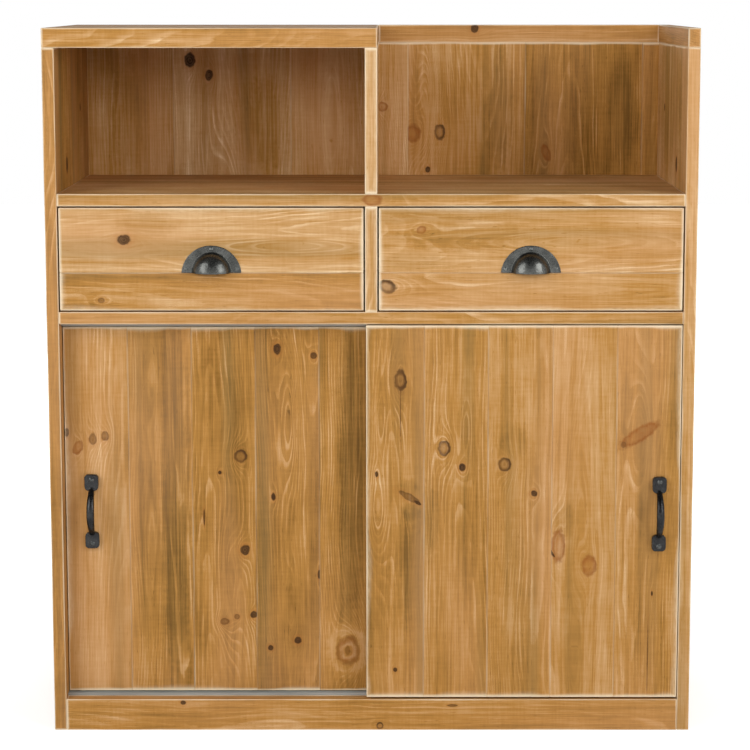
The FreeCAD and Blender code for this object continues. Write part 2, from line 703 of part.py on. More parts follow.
def make_handle(x, face, z):
    """A bowed bar, lofted through tapering ovals, between two pads with a screw each."""
    ovals = []
    for station in BAR_STATIONS:
        oval = doc.addObject("Part::Ellipse", "Oval")
        oval.Placement = FreeCAD.Placement(
            FreeCAD.Vector(), FreeCAD.Rotation(FreeCAD.Vector(1, 0, 0), 1)
        )
        squared = station * station
        shrink = f"(1 - bar_taper * {squared}) / 2"
        bind(oval, "MajorRadius", f"bar_wide * {shrink}")
        bind(oval, "MinorRadius", f"bar_thick * {shrink}")
        bind(oval, "Placement.Base.x", x)
        bind(oval, "Placement.Base.y", f"{face} - bar_start - bar_rise * {1 - squared}")
        bind(oval, "Placement.Base.z", f"{z} + bar_half * {station}")
        bind(oval, "Placement.Rotation.Angle", f"-atan({2 * station} * bar_rise / bar_half)")
        ovals.append(oval)
    bar = doc.addObject("Part::Loft", "Bar")
    bar.Sections = ovals
    bar.Solid = True

    pads = []
    fixings = []
    pad_y = (f"{face} - pad_thick", face)
    for end in (-1, 1):
        tip = f"{z} + {end} * handle_long / 2"
        if end == 1:
            reach, outer, inner = (f"{tip} - pad_long", tip), UPPER_CORNERS, LOWER_CORNERS
        else:
            reach, outer, inner = (tip, f"{tip} + pad_long"), LOWER_CORNERS, UPPER_CORNERS
        blank = box(about(x, "pad_wide"), pad_y, reach)
        pads.append(rounded(blank, (outer, "pad_round"), (inner, "pad_shoulder")))
        at = (x, pad_y[0], f"{tip} - {end} * handle_screw_inset")
        fixings.append(screw(at, "wood_screw", "handle_screw_long + pad_thick"))
    screws = [fixing for fixing, hole in fixings]
    holes = [hole for fixing, hole in fixings]
    return cut(fuse(pads + [bar]), holes), screws, holes


def make_doors():
    make_door(
        LEFT,
        "left_door",
        "rear_door_face",
        "rear_door_back",
        "track_top + door_foot",
        "guide_under - door_run",
        "left_handle_inset",
    )
    make_door(
        RIGHT,
        "right_door",
        "front_door_face",
        "front_door_back",
        "plinth_high + door_lift",
        "lower_under - door_drop",
        "right_handle_inset",
    )


def check():
    """Stop before anything is written if a feature failed or a solid is unsound."""
    doc.recompute()
    for thing in doc.Objects:
        if "Invalid" in thing.State or "Error" in thing.State:
            raise RuntimeError(f"{thing.Label} failed: {thing.State}")
    for label, thing in nodes.items():
        shape = thing.Shape
        if shape.isNull() or not shape.isValid() or not shape.Solids:
            raise RuntimeError(f"{label} is not a sound solid")


def write():
    os.makedirs("parts", exist_ok=True)
    for label, thing in nodes.items():
        thing.Shape.exportStep(f"parts/{label}.step")
        print(label, len(thing.Shape.Solids), round(thing.Shape.Volume))


fill_sheet()
place_dowels()
make_sides()
make_top()
screw_holes = make_back()
make_tracks(screw_holes)
make_shelves(screw_holes)
make_dividers()
make_inner_shelf()
make_runners()
make_drawer(LEFT, "left_drawer")
make_drawer(RIGHT, "right_drawer")
make_doors()
group("dowels", dowels)
check()
write()
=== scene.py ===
"""The finished look of a pine cabinet with two open compartments, two drawers and two sliding doors."""
import math

import bmesh
import bpy
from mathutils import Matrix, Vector, noise


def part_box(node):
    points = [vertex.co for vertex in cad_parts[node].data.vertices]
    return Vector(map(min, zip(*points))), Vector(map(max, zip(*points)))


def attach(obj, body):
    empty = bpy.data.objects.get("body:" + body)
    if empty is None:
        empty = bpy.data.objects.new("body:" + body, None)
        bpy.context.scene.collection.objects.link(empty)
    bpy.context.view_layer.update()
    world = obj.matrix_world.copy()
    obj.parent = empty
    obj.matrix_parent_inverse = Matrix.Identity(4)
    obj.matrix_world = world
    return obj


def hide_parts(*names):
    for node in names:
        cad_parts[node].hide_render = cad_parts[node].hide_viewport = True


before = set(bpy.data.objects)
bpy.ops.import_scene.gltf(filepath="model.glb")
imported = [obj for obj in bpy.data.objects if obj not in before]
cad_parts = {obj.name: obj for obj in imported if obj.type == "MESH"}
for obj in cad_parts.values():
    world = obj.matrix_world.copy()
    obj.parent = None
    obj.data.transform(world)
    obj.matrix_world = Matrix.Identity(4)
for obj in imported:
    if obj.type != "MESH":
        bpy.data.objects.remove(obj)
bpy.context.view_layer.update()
MM = 0.001
SIDES = ("left", "right")
WHITE = (1.0, 1.0, 1.0, 1.0)

# Softened edges of boards, and the turn in radians past which an edge is softened
ARRIS = 1.3 * MM
STAVE_ARRIS = 0.7 * MM
ARRIS_STEPS = 3
EDGE_TURN = 0.5

# The gap at a seam, and the distance to the nearest seam on a board that has none
SEAM_GAP = 0.05 * MM
NO_SEAM = 10.0

# Staves of a door, the back's seams in millimetres from its left edge and its lap, and the drawers' seam
STAVES = 5
STAVE = 99.5 * MM
BACK_SEAMS = (154.0, 351.5, 549.0, 746.5, 944.0)
BACK_LAP = 9 * MM
FRONT_SEAM = 726.7 * MM

# A board's own axes: across its face, through it, along its grain
UPRIGHT_FACE = (0, 1, 2)
UPRIGHT_SIDE = (1, 0, 2)
LYING_FACE = (2, 1, 0)
LYING_SHELF = (1, 2, 0)
DEEP_SHELF = (0, 2, 1)
DEEP_SIDE = (2, 0, 1)


def srgb(red, green, blue):
    """A colour as seen on screen, as the light that it stands for."""
    def light(level):
        share = level / 255
        return share / 12.92 if share <= 0.04045 else ((share + 0.055) / 1.055) ** 2.4
    return (light(red), light(green), light(blue), 1.0)


class Nodes:
    """A node tree with short calls: each adds one node, feeds its inputs and gives back an output."""

    def __init__(self, tree):
        self.tree = tree

    def feed(self, socket, value):
        """Links a socket to an output, or sets its value."""
        if isinstance(value, bpy.types.NodeSocket):
            self.tree.links.new(value, socket)
        else:
            socket.default_value = value

    def fill(self, node, feeds):
        """Feeds several inputs of a node, by name or by place."""
        for key, value in dict(feeds).items():
            self.feed(node.inputs[key], value)

    def place(self, kind, feeds=(), **settings):
        made = self.tree.nodes.new(kind)
        for key, setting in settings.items():
            setattr(made, key, setting)
        self.fill(made, feeds)
        return made

    def add(self, kind, feeds=(), output=0, **settings):
        return self.place(kind, feeds, **settings).outputs[output]

    def math(self, operation, *values, clamp=False):
        return self.add("ShaderNodeMath", enumerate(values), operation=operation, use_clamp=clamp)

    def plus(self, first, second):
        return self.math("ADD", first, second)

    def minus(self, first, second):
        return self.math("SUBTRACT", first, second)

    def times(self, first, second, clamp=False):
        return self.math("MULTIPLY", first, second, clamp=clamp)

    def over(self, first, second):
        return self.math("DIVIDE", first, second)

    def larger(self, first, second):
        return self.math("MAXIMUM", first, second)

    def smaller(self, first, second):
        return self.math("MINIMUM", first, second)

    def linear(self, value, slope, start):
        """A value times a slope, plus a start."""
        return self.math("MULTIPLY_ADD", value, slope, start)

    def centred(self, value, spread):
        """A value from 0 to 1 as a spread about zero."""
        return self.linear(value, spread, -spread / 2)

    def total(self, *values):
        """The sum of several values."""
        result = values[0]
        for value in values[1:]:
            result = self.plus(result, value)
        return result

    def vector(self, operation, *values, output=0):
        return self.add("ShaderNodeVectorMath", enumerate(values), output, operation=operation)

    def split(self, vector):
        return self.place("ShaderNodeSeparateXYZ", {0: vector}).outputs

    def join(self, *parts):
        return self.add("ShaderNodeCombineXYZ", enumerate(parts))

    def step(self, value, start, end, low=0.0, high=1.0):
        """A smooth rise from low to high while a value goes from start to end."""
        feeds = {"Value": value, "From Min": start, "From Max": end, "To Min": low, "To Max": high}
        return self.add("ShaderNodeMapRange", feeds, interpolation_type="SMOOTHSTEP")

    def noise(self, vector, stretch, detail=1.0, roughness=0.5):
        """Noise over a vector that is first stretched to the noise's own grain."""
        feeds = {"Vector": self.vector("MULTIPLY", vector, stretch), "Scale": 1.0,
                 "Detail": detail, "Roughness": roughness}
        return self.add("ShaderNodeTexNoise", feeds)

    def swing(self, vector, stretch, reach, detail=1.0):
        """Noise about zero, as far as a reach to either side."""
        return self.centred(self.noise(vector, stretch, detail), 2 * reach)

    def chance(self, value):
        """A fixed random share for a value."""
        return self.add("ShaderNodeTexWhiteNoise", {"W": value}, noise_dimensions="1D")

    def mix(self, share, first, second):
        """A colour between two; 6, 7 and 2 are the node's sockets for colours."""
        return self.add("ShaderNodeMix", {0: share, 6: first, 7: second}, 2, data_type="RGBA")

    def ramp(self, value, stops):
        node = self.place("ShaderNodeValToRGB", {0: value})
        elements = node.color_ramp.elements
        while len(elements) < len(stops):
            elements.new(0.5)
        for element, (place, colour) in zip(elements, stops):
            element.position = place
            element.color = colour
        return node.outputs[0]


def new_group(name, inputs, outputs):
    """An empty shader group with sockets named by kind; gives its nodes, its inputs and its outputs."""
    tree = bpy.data.node_groups.new(name, "ShaderNodeTree")
    for way, sockets in (("INPUT", inputs), ("OUTPUT", outputs)):
        for kind, labels in sockets.items():
            for label in labels:
                tree.interface.new_socket(label, in_out=way, socket_type=f"NodeSocket{kind}")
    source = tree.nodes.new("NodeGroupInput")
    sink = tree.nodes.new("NodeGroupOutput")
    return Nodes(tree), source.outputs, sink.inputs


# Skins

# What a group puts out that dresses a whole shader
SKIN = {"Color": ("Color",), "Float": ("Roughness", "Height")}

# Pine colours, from dark stained grain to hard pale grain
PINE_STOPS = (
    (0.00, srgb(75, 51, 18)),
    (0.25, srgb(130, 91, 36)),
    (0.50, srgb(178, 128, 62)),
    (0.72, srgb(202, 160, 110)),
    (0.88, srgb(218, 184, 140)),
    (1.00, srgb(238, 214, 174)),
)
# Grey that grey bands, stains and patches of painted shade draw the wood towards
GREY_WOOD_AND_SHADE = srgb(136, 112, 68)
ROSY_PINE = srgb(206, 153, 106)
WORN_PALE = srgb(242, 226, 196)
KNOT_HEART = srgb(40, 24, 12)
KNOT_RIM = srgb(60, 36, 18)
KNOT_RED = srgb(168, 98, 38)

# Where the zones of a knot begin and where they are full, in half sizes from its middle
HEART_EDGE = (1.14, 0.84)
RIM_INSIDE = (0.42, 0.9)
RIM_OUTSIDE = (1.26, 1.0)
GLOW_EDGE = (1.35, 0.8)
HALO_EDGE = (2.3, 0.9)
HALO_SHARE = 0.3

# Rings in the heart of a knot, in radians per half size, and how far they swing
HEART_RINGS = 15.0
HEART_SWING = 0.08

# How far a rim is stronger on one side, the reach inside which that fades, and the even share of red wood
RIM_LEAN = 0.2
LEAN_REACH = 0.2
RED_EVEN = 0.5

# How far round a knot the grain parts, in half sizes, how far it is pushed and how far its rings rise
PART_WIDE = 2.0
PART_LONG = 3.2
PART_PUSH = 0.92
PART_LIFT = 2.2

# Where a stain, or a patch of painted shade, begins and where it is full, in half sizes from its middle
STAIN_AND_SHADE_EDGE = (1.3, 0.5)

# The pale line is twice as wide at the ends of a board as along it
END_ROOM = 0.5

# How fine worn patches and worn fibres are, per metre across, through and along the grain, and their detail
WORN_PATCHES = ((11.0, 11.0, 7.0), 2.0)
WORN_FIBRES = ((330.0, 330.0, 90.0), 2.0)

# Between which levels patches and fibres change the wear, and from what to what
LINE_WIDTH = (0.25, 0.75, 0.6, 1.4)
LINE_SHARE = (0.2, 0.55, 0.55, 0.95)
FEATHER_WIDTH = (0.3, 0.7, 0.3, 1.4)
FEATHER_SHARE = (0.2, 0.8, 0.2, 0.5)
SEAM_SHARE = (0.4, 0.7, 0.06, 0.38)

# How far from a seam wear begins and where it is full
SEAM_EDGE = (2.2 * MM, 0.2 * MM)


def make_knot_group():
    """A branch through a board: bends the grain round it and marks its heart and its rim."""
    marks = ("Heart", "Rim", "Red", "Lift")
    sizes = ("Half wide", "Half long", "Tilt", "Dark", "Ring", "Warm", "Ragged")
    inputs = {"Vector": ("Local", "Spot", "Centre"), "Float": sizes + marks}
    outputs = {"Vector": ("Local",), "Float": marks}
    net, given, result = new_group("knot", inputs, outputs)
    off = net.split(net.vector("SUBTRACT", given["Spot"], given["Centre"]))
    cosine = net.math("COSINE", given["Tilt"])
    sine = net.math("SINE", given["Tilt"])
    wide = net.plus(net.times(off[0], cosine), net.times(off[2], sine))
    long = net.minus(net.times(off[2], cosine), net.times(off[0], sine))
    wide = net.over(wide, given["Half wide"])
    long = net.over(long, given["Half long"])
    reach = net.math("SQRT", net.plus(net.times(wide, wide), net.times(long, long)))
    reach = net.plus(reach, given["Ragged"])

    inside = net.step(reach, *HEART_EDGE)
    rings = net.linear(net.math("SINE", net.times(reach, HEART_RINGS)), HEART_SWING, 1 - HEART_SWING)
    heart = net.times(net.times(inside, rings), given["Dark"])
    band = net.times(net.step(reach, *RIM_INSIDE), net.step(reach, *RIM_OUTSIDE))
    lean = net.linear(net.over(wide, net.larger(reach, LEAN_REACH)), RIM_LEAN, 1 - RIM_LEAN)
    rim = net.times(net.times(band, lean), given["Ring"])
    halo = net.times(net.step(reach, *HALO_EDGE, 0.0, HALO_SHARE), given["Dark"])
    fill = net.times(net.linear(band, 1 - RED_EVEN, RED_EVEN), rings)
    glow = net.times(net.step(reach, *GLOW_EDGE), fill)
    red = net.larger(net.times(glow, given["Warm"]), halo)
    net.feed(result["Heart"], net.larger(given["Heart"], heart))
    net.feed(result["Rim"], net.larger(given["Rim"], rim))
    net.feed(result["Red"], net.larger(given["Red"], red))

    # Grain parts round the knot and closes again above and below it
    flow_wide = net.over(off[0], net.times(given["Half wide"], PART_WIDE))
    flow_long = net.over(off[2], net.times(given["Half long"], PART_LONG))
    spread = net.total(1.0, net.times(flow_wide, flow_wide), net.times(flow_long, flow_long))
    push = net.over(PART_PUSH, net.times(spread, spread))
    shift = net.times(net.times(off[0], push), -1.0)
    net.feed(result["Local"], net.vector("ADD", given["Local"], net.join(shift, 0.0, 0.0)))
    lift = net.times(net.times(given["Half wide"], PART_LIFT), push)
    net.feed(result["Lift"], net.plus(given["Lift"], lift))
    return net.tree


def make_stain_and_shade_group():
    """A soft dark patch where the wood took more stain, or a pale one where it took less; a dark patch also
    serves as painted shade.
    """
    inputs = {"Vector": ("Spot", "Centre", "Half"), "Float": ("Depth", "Ragged", "Stain and shade")}
    net, given, result = new_group("stain and shade", inputs, {"Float": ("Stain and shade",)})
    off = net.vector("SUBTRACT", given["Spot"], given["Centre"])
    off = net.split(net.vector("DIVIDE", off, given["Half"]))
    reach = net.vector("LENGTH", net.join(off[0], 0.0, off[2]), output=1)
    patch = net.step(net.plus(reach, given["Ragged"]), *STAIN_AND_SHADE_EDGE)
    net.feed(result["Stain and shade"], net.linear(patch, given["Depth"], given["Stain and shade"]))
    return net.tree


def make_wear_group():
    """Pale rubbed edges of a panel, from the place on it and its half sizes."""
    inputs = {"Vector": ("Place", "Half"), "Float": ("Seed", "Line", "Feather", "Seam")}
    net, given, result = new_group("worn edges", inputs, {"Float": ("Wear",)})
    room = net.split(net.vector("SUBTRACT", given["Half"], net.vector("ABSOLUTE", given["Place"])))
    low = net.smaller(room[0], room[1])
    high = net.larger(room[0], room[1])
    edge = net.larger(low, net.smaller(high, room[2]))
    end = net.times(room[2], END_ROOM)
    rim = net.larger(low, net.smaller(high, end))
    own = net.vector("ADD", given["Place"], net.join(given["Seed"], given["Seed"], given["Seed"]))
    patch = net.noise(own, *WORN_PATCHES)
    fibre = net.noise(own, *WORN_FIBRES)
    line_wide = net.times(given["Line"], net.step(patch, *LINE_WIDTH))
    line = net.times(net.step(rim, line_wide, 0.0), net.step(patch, *LINE_SHARE))
    feather_wide = net.times(given["Feather"], net.step(patch, *FEATHER_WIDTH))
    feather = net.times(net.step(edge, feather_wide, 0.0), net.step(fibre, *FEATHER_SHARE))
    seam = net.times(net.step(given["Seam"], *SEAM_EDGE), net.step(patch, *SEAM_SHARE))
    net.feed(result["Wear"], net.larger(net.larger(line, feather), seam))
    return net.tree


# How far a board's seed moves its patterns across and along it, and what keeps its draws apart
SEED_ACROSS = 3.1
SEED_ALONG = 7.3
DEPTH_DRAW = 0.37
LEAN_DRAW = 0.71
RING_DRAWS = 13.0

# Where the pith lies behind a board, how its rings lean along the board, and how far apart rings are
PITH_SPREAD = 90 * MM
PITH_NEAR = 18 * MM
PITH_RANGE = 50 * MM
RING_LEAN = 0.07
RING_STEP = 3.4 * MM

# How the pith wanders and how rings bend: how fine that is per metre, how far it goes and its detail
WANDER = ((0.0, 0.0, 2.1), 30 * MM)
WARP = ((9.0, 9.0, 2.6), 8 * MM, 2.0)
RIPPLE = ((70.0, 70.0, 22.0), 1.1 * MM, 2.0)

# Where hard wood begins and ends in a ring, how rings come and go, and the least share of a weak ring
HARD_BEGINS = (0.45, 0.86)
HARD_ENDS = (1.0, 0.9)
RINGS_SHOWING = (0.36, 0.66, 0.25, 1.0)
RINGS_BROKEN = (0.32, 0.6, 0.3, 1.0)
WEAK_RING = 0.2

# Patterns in the wood: how fine they are per metre across, through and along the grain, detail and roughness
GRAIN = {
    "showing": ((13.0, 13.0, 3.0), 1.0, 0.5),
    "breaks": ((90.0, 90.0, 15.0), 1.0, 0.5),
    "bands": ((26.0, 26.0, 0.9), 1.0, 0.5),
    "blotches": ((17.0, 17.0, 9.0), 4.0, 0.62),
    "streaks": ((150.0, 150.0, 3.0), 3.0, 0.6),
    "fibres": ((620.0, 620.0, 14.0), 3.0, 0.65),
    "saw marks": ((26.0, 26.0, 270.0), 2.0, 0.5),
    "ticks": ((800.0, 800.0, 70.0), 1.0, 0.5),
    "rosy clouds": ((10.0, 10.0, 1.7), 1.0, 0.5),
    "mottle": ((420.0, 420.0, 120.0), 2.0, 0.5),
}

# The wood's middle level among its colours, and how far patterns, ticks and rings shade it
WOOD_LEVEL = 0.42
SHADES = {"bands": 0.34, "blotches": 0.42, "streaks": 0.5, "fibres": 0.44, "saw marks": 0.1}
TICK_SHADE = -0.18
RING_SHADE = 0.31

# Between which levels of a pattern ticks, stain and painted shade, grey and rosy wood set in, and how strong
# they get
TICKS_BEGIN = (0.68, 0.78)
STAIN_AND_SHADE_STRIPES = (0.64, 0.36, 0.2, 0.44)
GREY_BANDS = (0.46, 0.24, 0.0, 0.4)
GREY_IN_STAIN_AND_SHADE = 0.4
ROSY_SHARE = (0.42, 0.72, 0.0, 0.32)

# Slopes and starts by which mottle breaks up red wood and hearts, and hearts keep wear off; what wear hides
RED_MOTTLE = (1.4, 0.2)
HEART_MOTTLE = (0.5, 0.7)
HEART_WEAR = (-0.6, 1.0)
WEAR_COVER = 0.88

# Roughness and relief of the wood, and what fibres, rings, wear and hearts add to them
WOOD_ROUGH = 0.6
FIBRE_ROUGH = 0.16
RING_ROUGH = -0.08
WEAR_ROUGH = 0.08
RING_RELIEF = 0.5
FIBRE_RELIEF = 0.3
HEART_RELIEF = -0.5


def make_pine_group():
    """Pine grain: rings about a pith behind the board, streaks, knots and pale rubbed wood."""
    marks = ("Seed", "Tone", "Heart", "Rim", "Red", "Lift", "Wear", "Stain and shade")
    net, given, result = new_group("pine", {"Vector": ("Local",), "Float": marks}, SKIN)
    seed = given["Seed"]
    offset = net.join(net.times(seed, SEED_ACROSS), seed, net.times(seed, SEED_ALONG))
    own = net.vector("ADD", given["Local"], offset)
    across, through, along = net.split(given["Local"])[:3]

    # Distance to the pith, which wanders along the board and lies behind it
    wander = net.swing(own, *WANDER)
    pith_across = net.plus(net.centred(net.chance(seed), PITH_SPREAD), wander)
    pith_deep = net.linear(net.chance(net.plus(seed, DEPTH_DRAW)), PITH_RANGE, PITH_NEAR)
    from_pith = net.join(net.minus(across, pith_across), net.minus(through, pith_deep), 0.0)
    distance = net.vector("LENGTH", from_pith, output=1)
    warp = net.swing(own, *WARP)
    ripple = net.swing(own, *RIPPLE)
    lean = net.centred(net.chance(net.plus(seed, LEAN_DRAW)), RING_LEAN)
    depth = net.total(distance, warp, ripple, net.times(along, lean), given["Lift"])
    ring = net.over(depth, RING_STEP)
    share = net.math("FRACT", ring)
    strength = net.chance(net.plus(net.math("FLOOR", ring), net.times(seed, RING_DRAWS)))
    line = net.times(net.step(share, *HARD_BEGINS), net.step(share, *HARD_ENDS))
    showing = net.step(net.noise(own, *GRAIN["showing"]), *RINGS_SHOWING)
    broken = net.step(net.noise(own, *GRAIN["breaks"]), *RINGS_BROKEN)
    showing = net.times(showing, broken)
    line = net.times(net.times(line, showing), net.linear(strength, 1 - WEAK_RING, WEAK_RING))

    patterns = {label: net.noise(own, *GRAIN[label]) for label in SHADES}
    ticks = net.step(net.noise(own, *GRAIN["ticks"]), *TICKS_BEGIN)
    # The stain input holds stains and painted shade: it darkens the wood in stripes and greys it
    stripes = net.step(patterns["streaks"], *STAIN_AND_SHADE_STRIPES)
    level = net.total(
        WOOD_LEVEL,
        *(net.centred(patterns[label], spread) for label, spread in SHADES.items()),
        net.times(ticks, TICK_SHADE),
        net.times(line, RING_SHADE),
        net.times(net.times(given["Stain and shade"], stripes), -1.0),
        given["Tone"],
    )
    colour = net.ramp(level, PINE_STOPS)
    greyed = net.larger(net.step(patterns["bands"], *GREY_BANDS), net.times(given["Stain and shade"], GREY_IN_STAIN_AND_SHADE))
    colour = net.mix(greyed, colour, GREY_WOOD_AND_SHADE)
    colour = net.mix(net.step(net.noise(own, *GRAIN["rosy clouds"]), *ROSY_SHARE), colour, ROSY_PINE)

    mottle = net.noise(own, *GRAIN["mottle"])
    red = net.times(given["Red"], net.linear(mottle, *RED_MOTTLE), clamp=True)
    colour = net.mix(red, colour, KNOT_RED)
    heart = net.times(given["Heart"], net.linear(mottle, *HEART_MOTTLE), clamp=True)
    colour = net.mix(heart, colour, KNOT_HEART)
    colour = net.mix(given["Rim"], colour, KNOT_RIM)
    wear = net.times(given["Wear"], net.linear(given["Heart"], *HEART_WEAR))
    colour = net.mix(net.times(wear, WEAR_COVER), colour, WORN_PALE)
    net.feed(result["Color"], colour)

    fibres = patterns["fibres"]
    rough = net.total(WOOD_ROUGH, net.times(fibres, FIBRE_ROUGH), net.times(line, RING_ROUGH))
    net.feed(result["Roughness"], net.linear(wear, WEAR_ROUGH, rough))
    raised = net.linear(line, RING_RELIEF, net.times(fibres, FIBRE_RELIEF))
    net.feed(result["Height"], net.linear(heart, HEART_RELIEF, raised))
    return net.tree


# Detail of a metal's clouds and marks, the clouds' share in its tone, where tones part, and marks' roughness
CLOUD_DETAIL = 3.0
MARK_DETAIL = 2.0
CLOUD_SHARE = 0.6
TONES_PART = (0.32, 0.68)
MARK_ROUGH = 0.2


def make_metal_group():
    """A worn metal skin: two tones in cloudy patches with fine marks over them."""
    inputs = {"Vector": ("Place", "Clouds", "Marks"), "Color": ("Dark", "Pale"), "Float": ("Rough",)}
    net, given, result = new_group("metal skin", inputs, SKIN)
    clouds = net.noise(given["Place"], given["Clouds"], CLOUD_DETAIL)
    marks = net.noise(given["Place"], given["Marks"], MARK_DETAIL)
    blend = net.plus(net.times(clouds, CLOUD_SHARE), net.times(marks, 1 - CLOUD_SHARE))
    blend = net.step(blend, *TONES_PART)
    net.feed(result["Color"], net.mix(blend, given["Dark"], given["Pale"]))
    net.feed(result["Roughness"], net.plus(given["Rough"], net.centred(marks, MARK_ROUGH)))
    net.feed(result["Height"], blend)
    return net.tree


KNOT = make_knot_group()
STAIN_AND_SHADE = make_stain_and_shade_group()
WORN_EDGES = make_wear_group()
PINE = make_pine_group()
METAL = make_metal_group()

# Materials

# How wide the pale edge line and its feathered border are, and the share of the line that all boards keep
WEAR_LINE = 3.2 * MM
WEAR_FEATHER = 9 * MM
LEAST_LINE = 0.4

# How deep the grain stands, how strongly a relief shows, and how much bare wood shines
GRAIN_DEEP = 0.35 * MM
RELIEF_SHARE = 0.5
WOOD_GLOSS = 0.16

# Ragged outlines of knots and stains: how fine they are per metre, how far they swing and their detail
RAGGED = ((120.0,) * 3, 0.36, 3.0)

# The seed and the tone of wood that keeps its CAD mesh
CAD_SEED = 0.43
CAD_TONE = 0.02


def new_material(name):
    """A material with a bare Principled shader; gives the material, its nodes and the shader."""
    material = bpy.data.materials.new(name)
    material.use_nodes = True
    tree = material.node_tree
    return material, Nodes(tree), tree.nodes["Principled BSDF"]


def dress(net, shader, skin, deep):
    """Feeds a skin group's colour, roughness and relief to a shader."""
    bump = {"Height": skin.outputs["Height"], "Strength": RELIEF_SHARE, "Distance": deep}
    net.fill(shader, {
        "Base Color": skin.outputs["Color"], "Roughness": skin.outputs["Roughness"],
        "Normal": net.add("ShaderNodeBump", bump),
    })


def attribute(net, name, output):
    """A value that a piece's mesh holds at each corner."""
    return net.add("ShaderNodeAttribute", (), output, attribute_name=name)


def pine(name, axes=UPRIGHT_FACE, knots=(), wear=1.0, middle=None, stains_and_shade=()):
    """Stained pine with its knots, its stains and its patches of painted shade, in millimetres and degrees.

    A knot is (across, along, half wide, half long, tilt, dark, ring, warm), and a stain or a patch of
    painted shade is (across, along, half wide, half long, depth).

    It reads a board's own attributes, or object coordinates about a middle where there are none.
    """
    material, net, shader = new_material(name)
    place = net.split(net.add("ShaderNodeTexCoord", (), "Object"))
    spot = net.join(*(place[axis] for axis in axes))
    if middle is None:
        local = attribute(net, "local", "Vector")
        seed = attribute(net, "seed", "Fac")
        tone = attribute(net, "tone", "Fac")
        seam = net.minus(attribute(net, "width", "Fac"), net.math("ABSOLUTE", net.split(local)[0]))
        edges = net.place("ShaderNodeGroup", node_tree=WORN_EDGES)
        net.fill(edges, {
            "Place": attribute(net, "place", "Vector"), "Half": attribute(net, "half", "Vector"),
            "Line": WEAR_LINE * (LEAST_LINE + (1 - LEAST_LINE) * wear), "Feather": WEAR_FEATHER * wear,
            "Seam": seam, "Seed": seed,
        })
        worn = edges.outputs["Wear"]
    else:
        local = net.vector("SUBTRACT", spot, [middle[axis] for axis in axes])
        seed, tone, worn = CAD_SEED, CAD_TONE, 0.0
    found = {"Local": local, "Heart": 0.0, "Rim": 0.0, "Red": 0.0, "Lift": 0.0}
    stain_and_shade_sum = 0.0
    if knots or stains_and_shade:
        ragged = net.swing(spot, *RAGGED)
    for across, along, wide, long, tilt, dark, ring, warm in knots:
        branch = net.place("ShaderNodeGroup", node_tree=KNOT)
        net.fill(branch, {
            **found, "Spot": spot, "Centre": (across * MM, 0.0, along * MM), "Half wide": wide * MM,
            "Half long": long * MM, "Tilt": math.radians(tilt), "Dark": dark, "Ring": ring, "Warm": warm,
            "Ragged": ragged,
        })
        found = {label: branch.outputs[label] for label in found}
    # Stains and patches of painted shade add up into one amount
    for across, along, wide, long, depth in stains_and_shade:
        patch = net.place("ShaderNodeGroup", node_tree=STAIN_AND_SHADE)
        net.fill(patch, {
            "Spot": spot, "Centre": (across * MM, 0.0, along * MM), "Half": (wide * MM, 1.0, long * MM),
            "Depth": depth, "Ragged": ragged, "Stain and shade": stain_and_shade_sum,
        })
        stain_and_shade_sum = patch.outputs["Stain and shade"]
    wood = net.place("ShaderNodeGroup", node_tree=PINE)
    net.fill(wood, {**found, "Seed": seed, "Tone": tone, "Wear": worn, "Stain and shade": stain_and_shade_sum})
    dress(net, shader, wood, GRAIN_DEEP)
    shader.inputs["Specular IOR Level"].default_value = WOOD_GLOSS
    return material


def metal(name, dark, pale, rough, metallic, pattern, deep):
    """A metal or plastic with a cloudy, marked skin over object coordinates."""
    material, net, shader = new_material(name)
    skin = net.place("ShaderNodeGroup", node_tree=METAL)
    clouds, marks = pattern
    net.fill(skin, {
        "Place": net.add("ShaderNodeTexCoord", (), "Object"), "Dark": dark, "Pale": pale, "Rough": rough,
        "Clouds": clouds, "Marks": marks,
    })
    dress(net, shader, skin, deep)
    shader.inputs["Metallic"].default_value = metallic
    return material


# Boards

# How far apart the seeds of boards are
SEED_STEP = 0.173


class Board:
    """A length of pine with softened edges; its panel is the whole face that it belongs to."""

    count = 0

    def __init__(self, low, high, axes, tone=0.0, arris=ARRIS, panel=None, outline=None):
        Board.count += 1
        self.low, self.high = Vector(low), Vector(high)
        self.axes, self.tone, self.arris = axes, tone, arris
        self.panel = panel or (self.low, self.high)
        self.outline = outline or [
            (self.low.x, self.low.y), (self.high.x, self.low.y),
            (self.high.x, self.high.y), (self.low.x, self.high.y),
        ]
        self.seed = SEED_STEP * Board.count
        across = axes[0]
        self.width = (self.high - self.low)[across] / 2
        if self.width * 2 > (self.panel[1] - self.panel[0])[across] - SEAM_GAP:
            self.width = NO_SEAM

    def solid(self):
        """The board's outline drawn up its height, with its outer edges rounded."""
        form = bmesh.new()
        floor = [form.verts.new((x, y, self.low.z)) for x, y in self.outline]
        roof = [form.verts.new((x, y, self.high.z)) for x, y in self.outline]
        form.faces.new(floor[::-1])
        form.faces.new(roof)
        for first in range(len(floor)):
            second = (first + 1) % len(floor)
            form.faces.new((floor[first], floor[second], roof[second], roof[first]))
        form.normal_update()
        edges = [edge for edge in form.edges if edge.calc_face_angle_signed() > EDGE_TURN]
        rounded = bmesh.ops.bevel(
            form, geom=edges, offset=self.arris, offset_type="OFFSET", segments=ARRIS_STEPS,
            profile=0.5, affect="EDGES", clamp_overlap=True,
        )
        for face in rounded["faces"]:
            face.smooth = True
        return form

    def own(self, spot, corners):
        """A place in the board's own axes, about the middle of some corners."""
        off = spot - (corners[0] + corners[1]) / 2
        return [off[axis] for axis in self.axes]

    def half(self):
        """Half the size of the board's panel, in the board's own axes."""
        size = (self.panel[1] - self.panel[0]) / 2
        return [size[axis] for axis in self.axes]


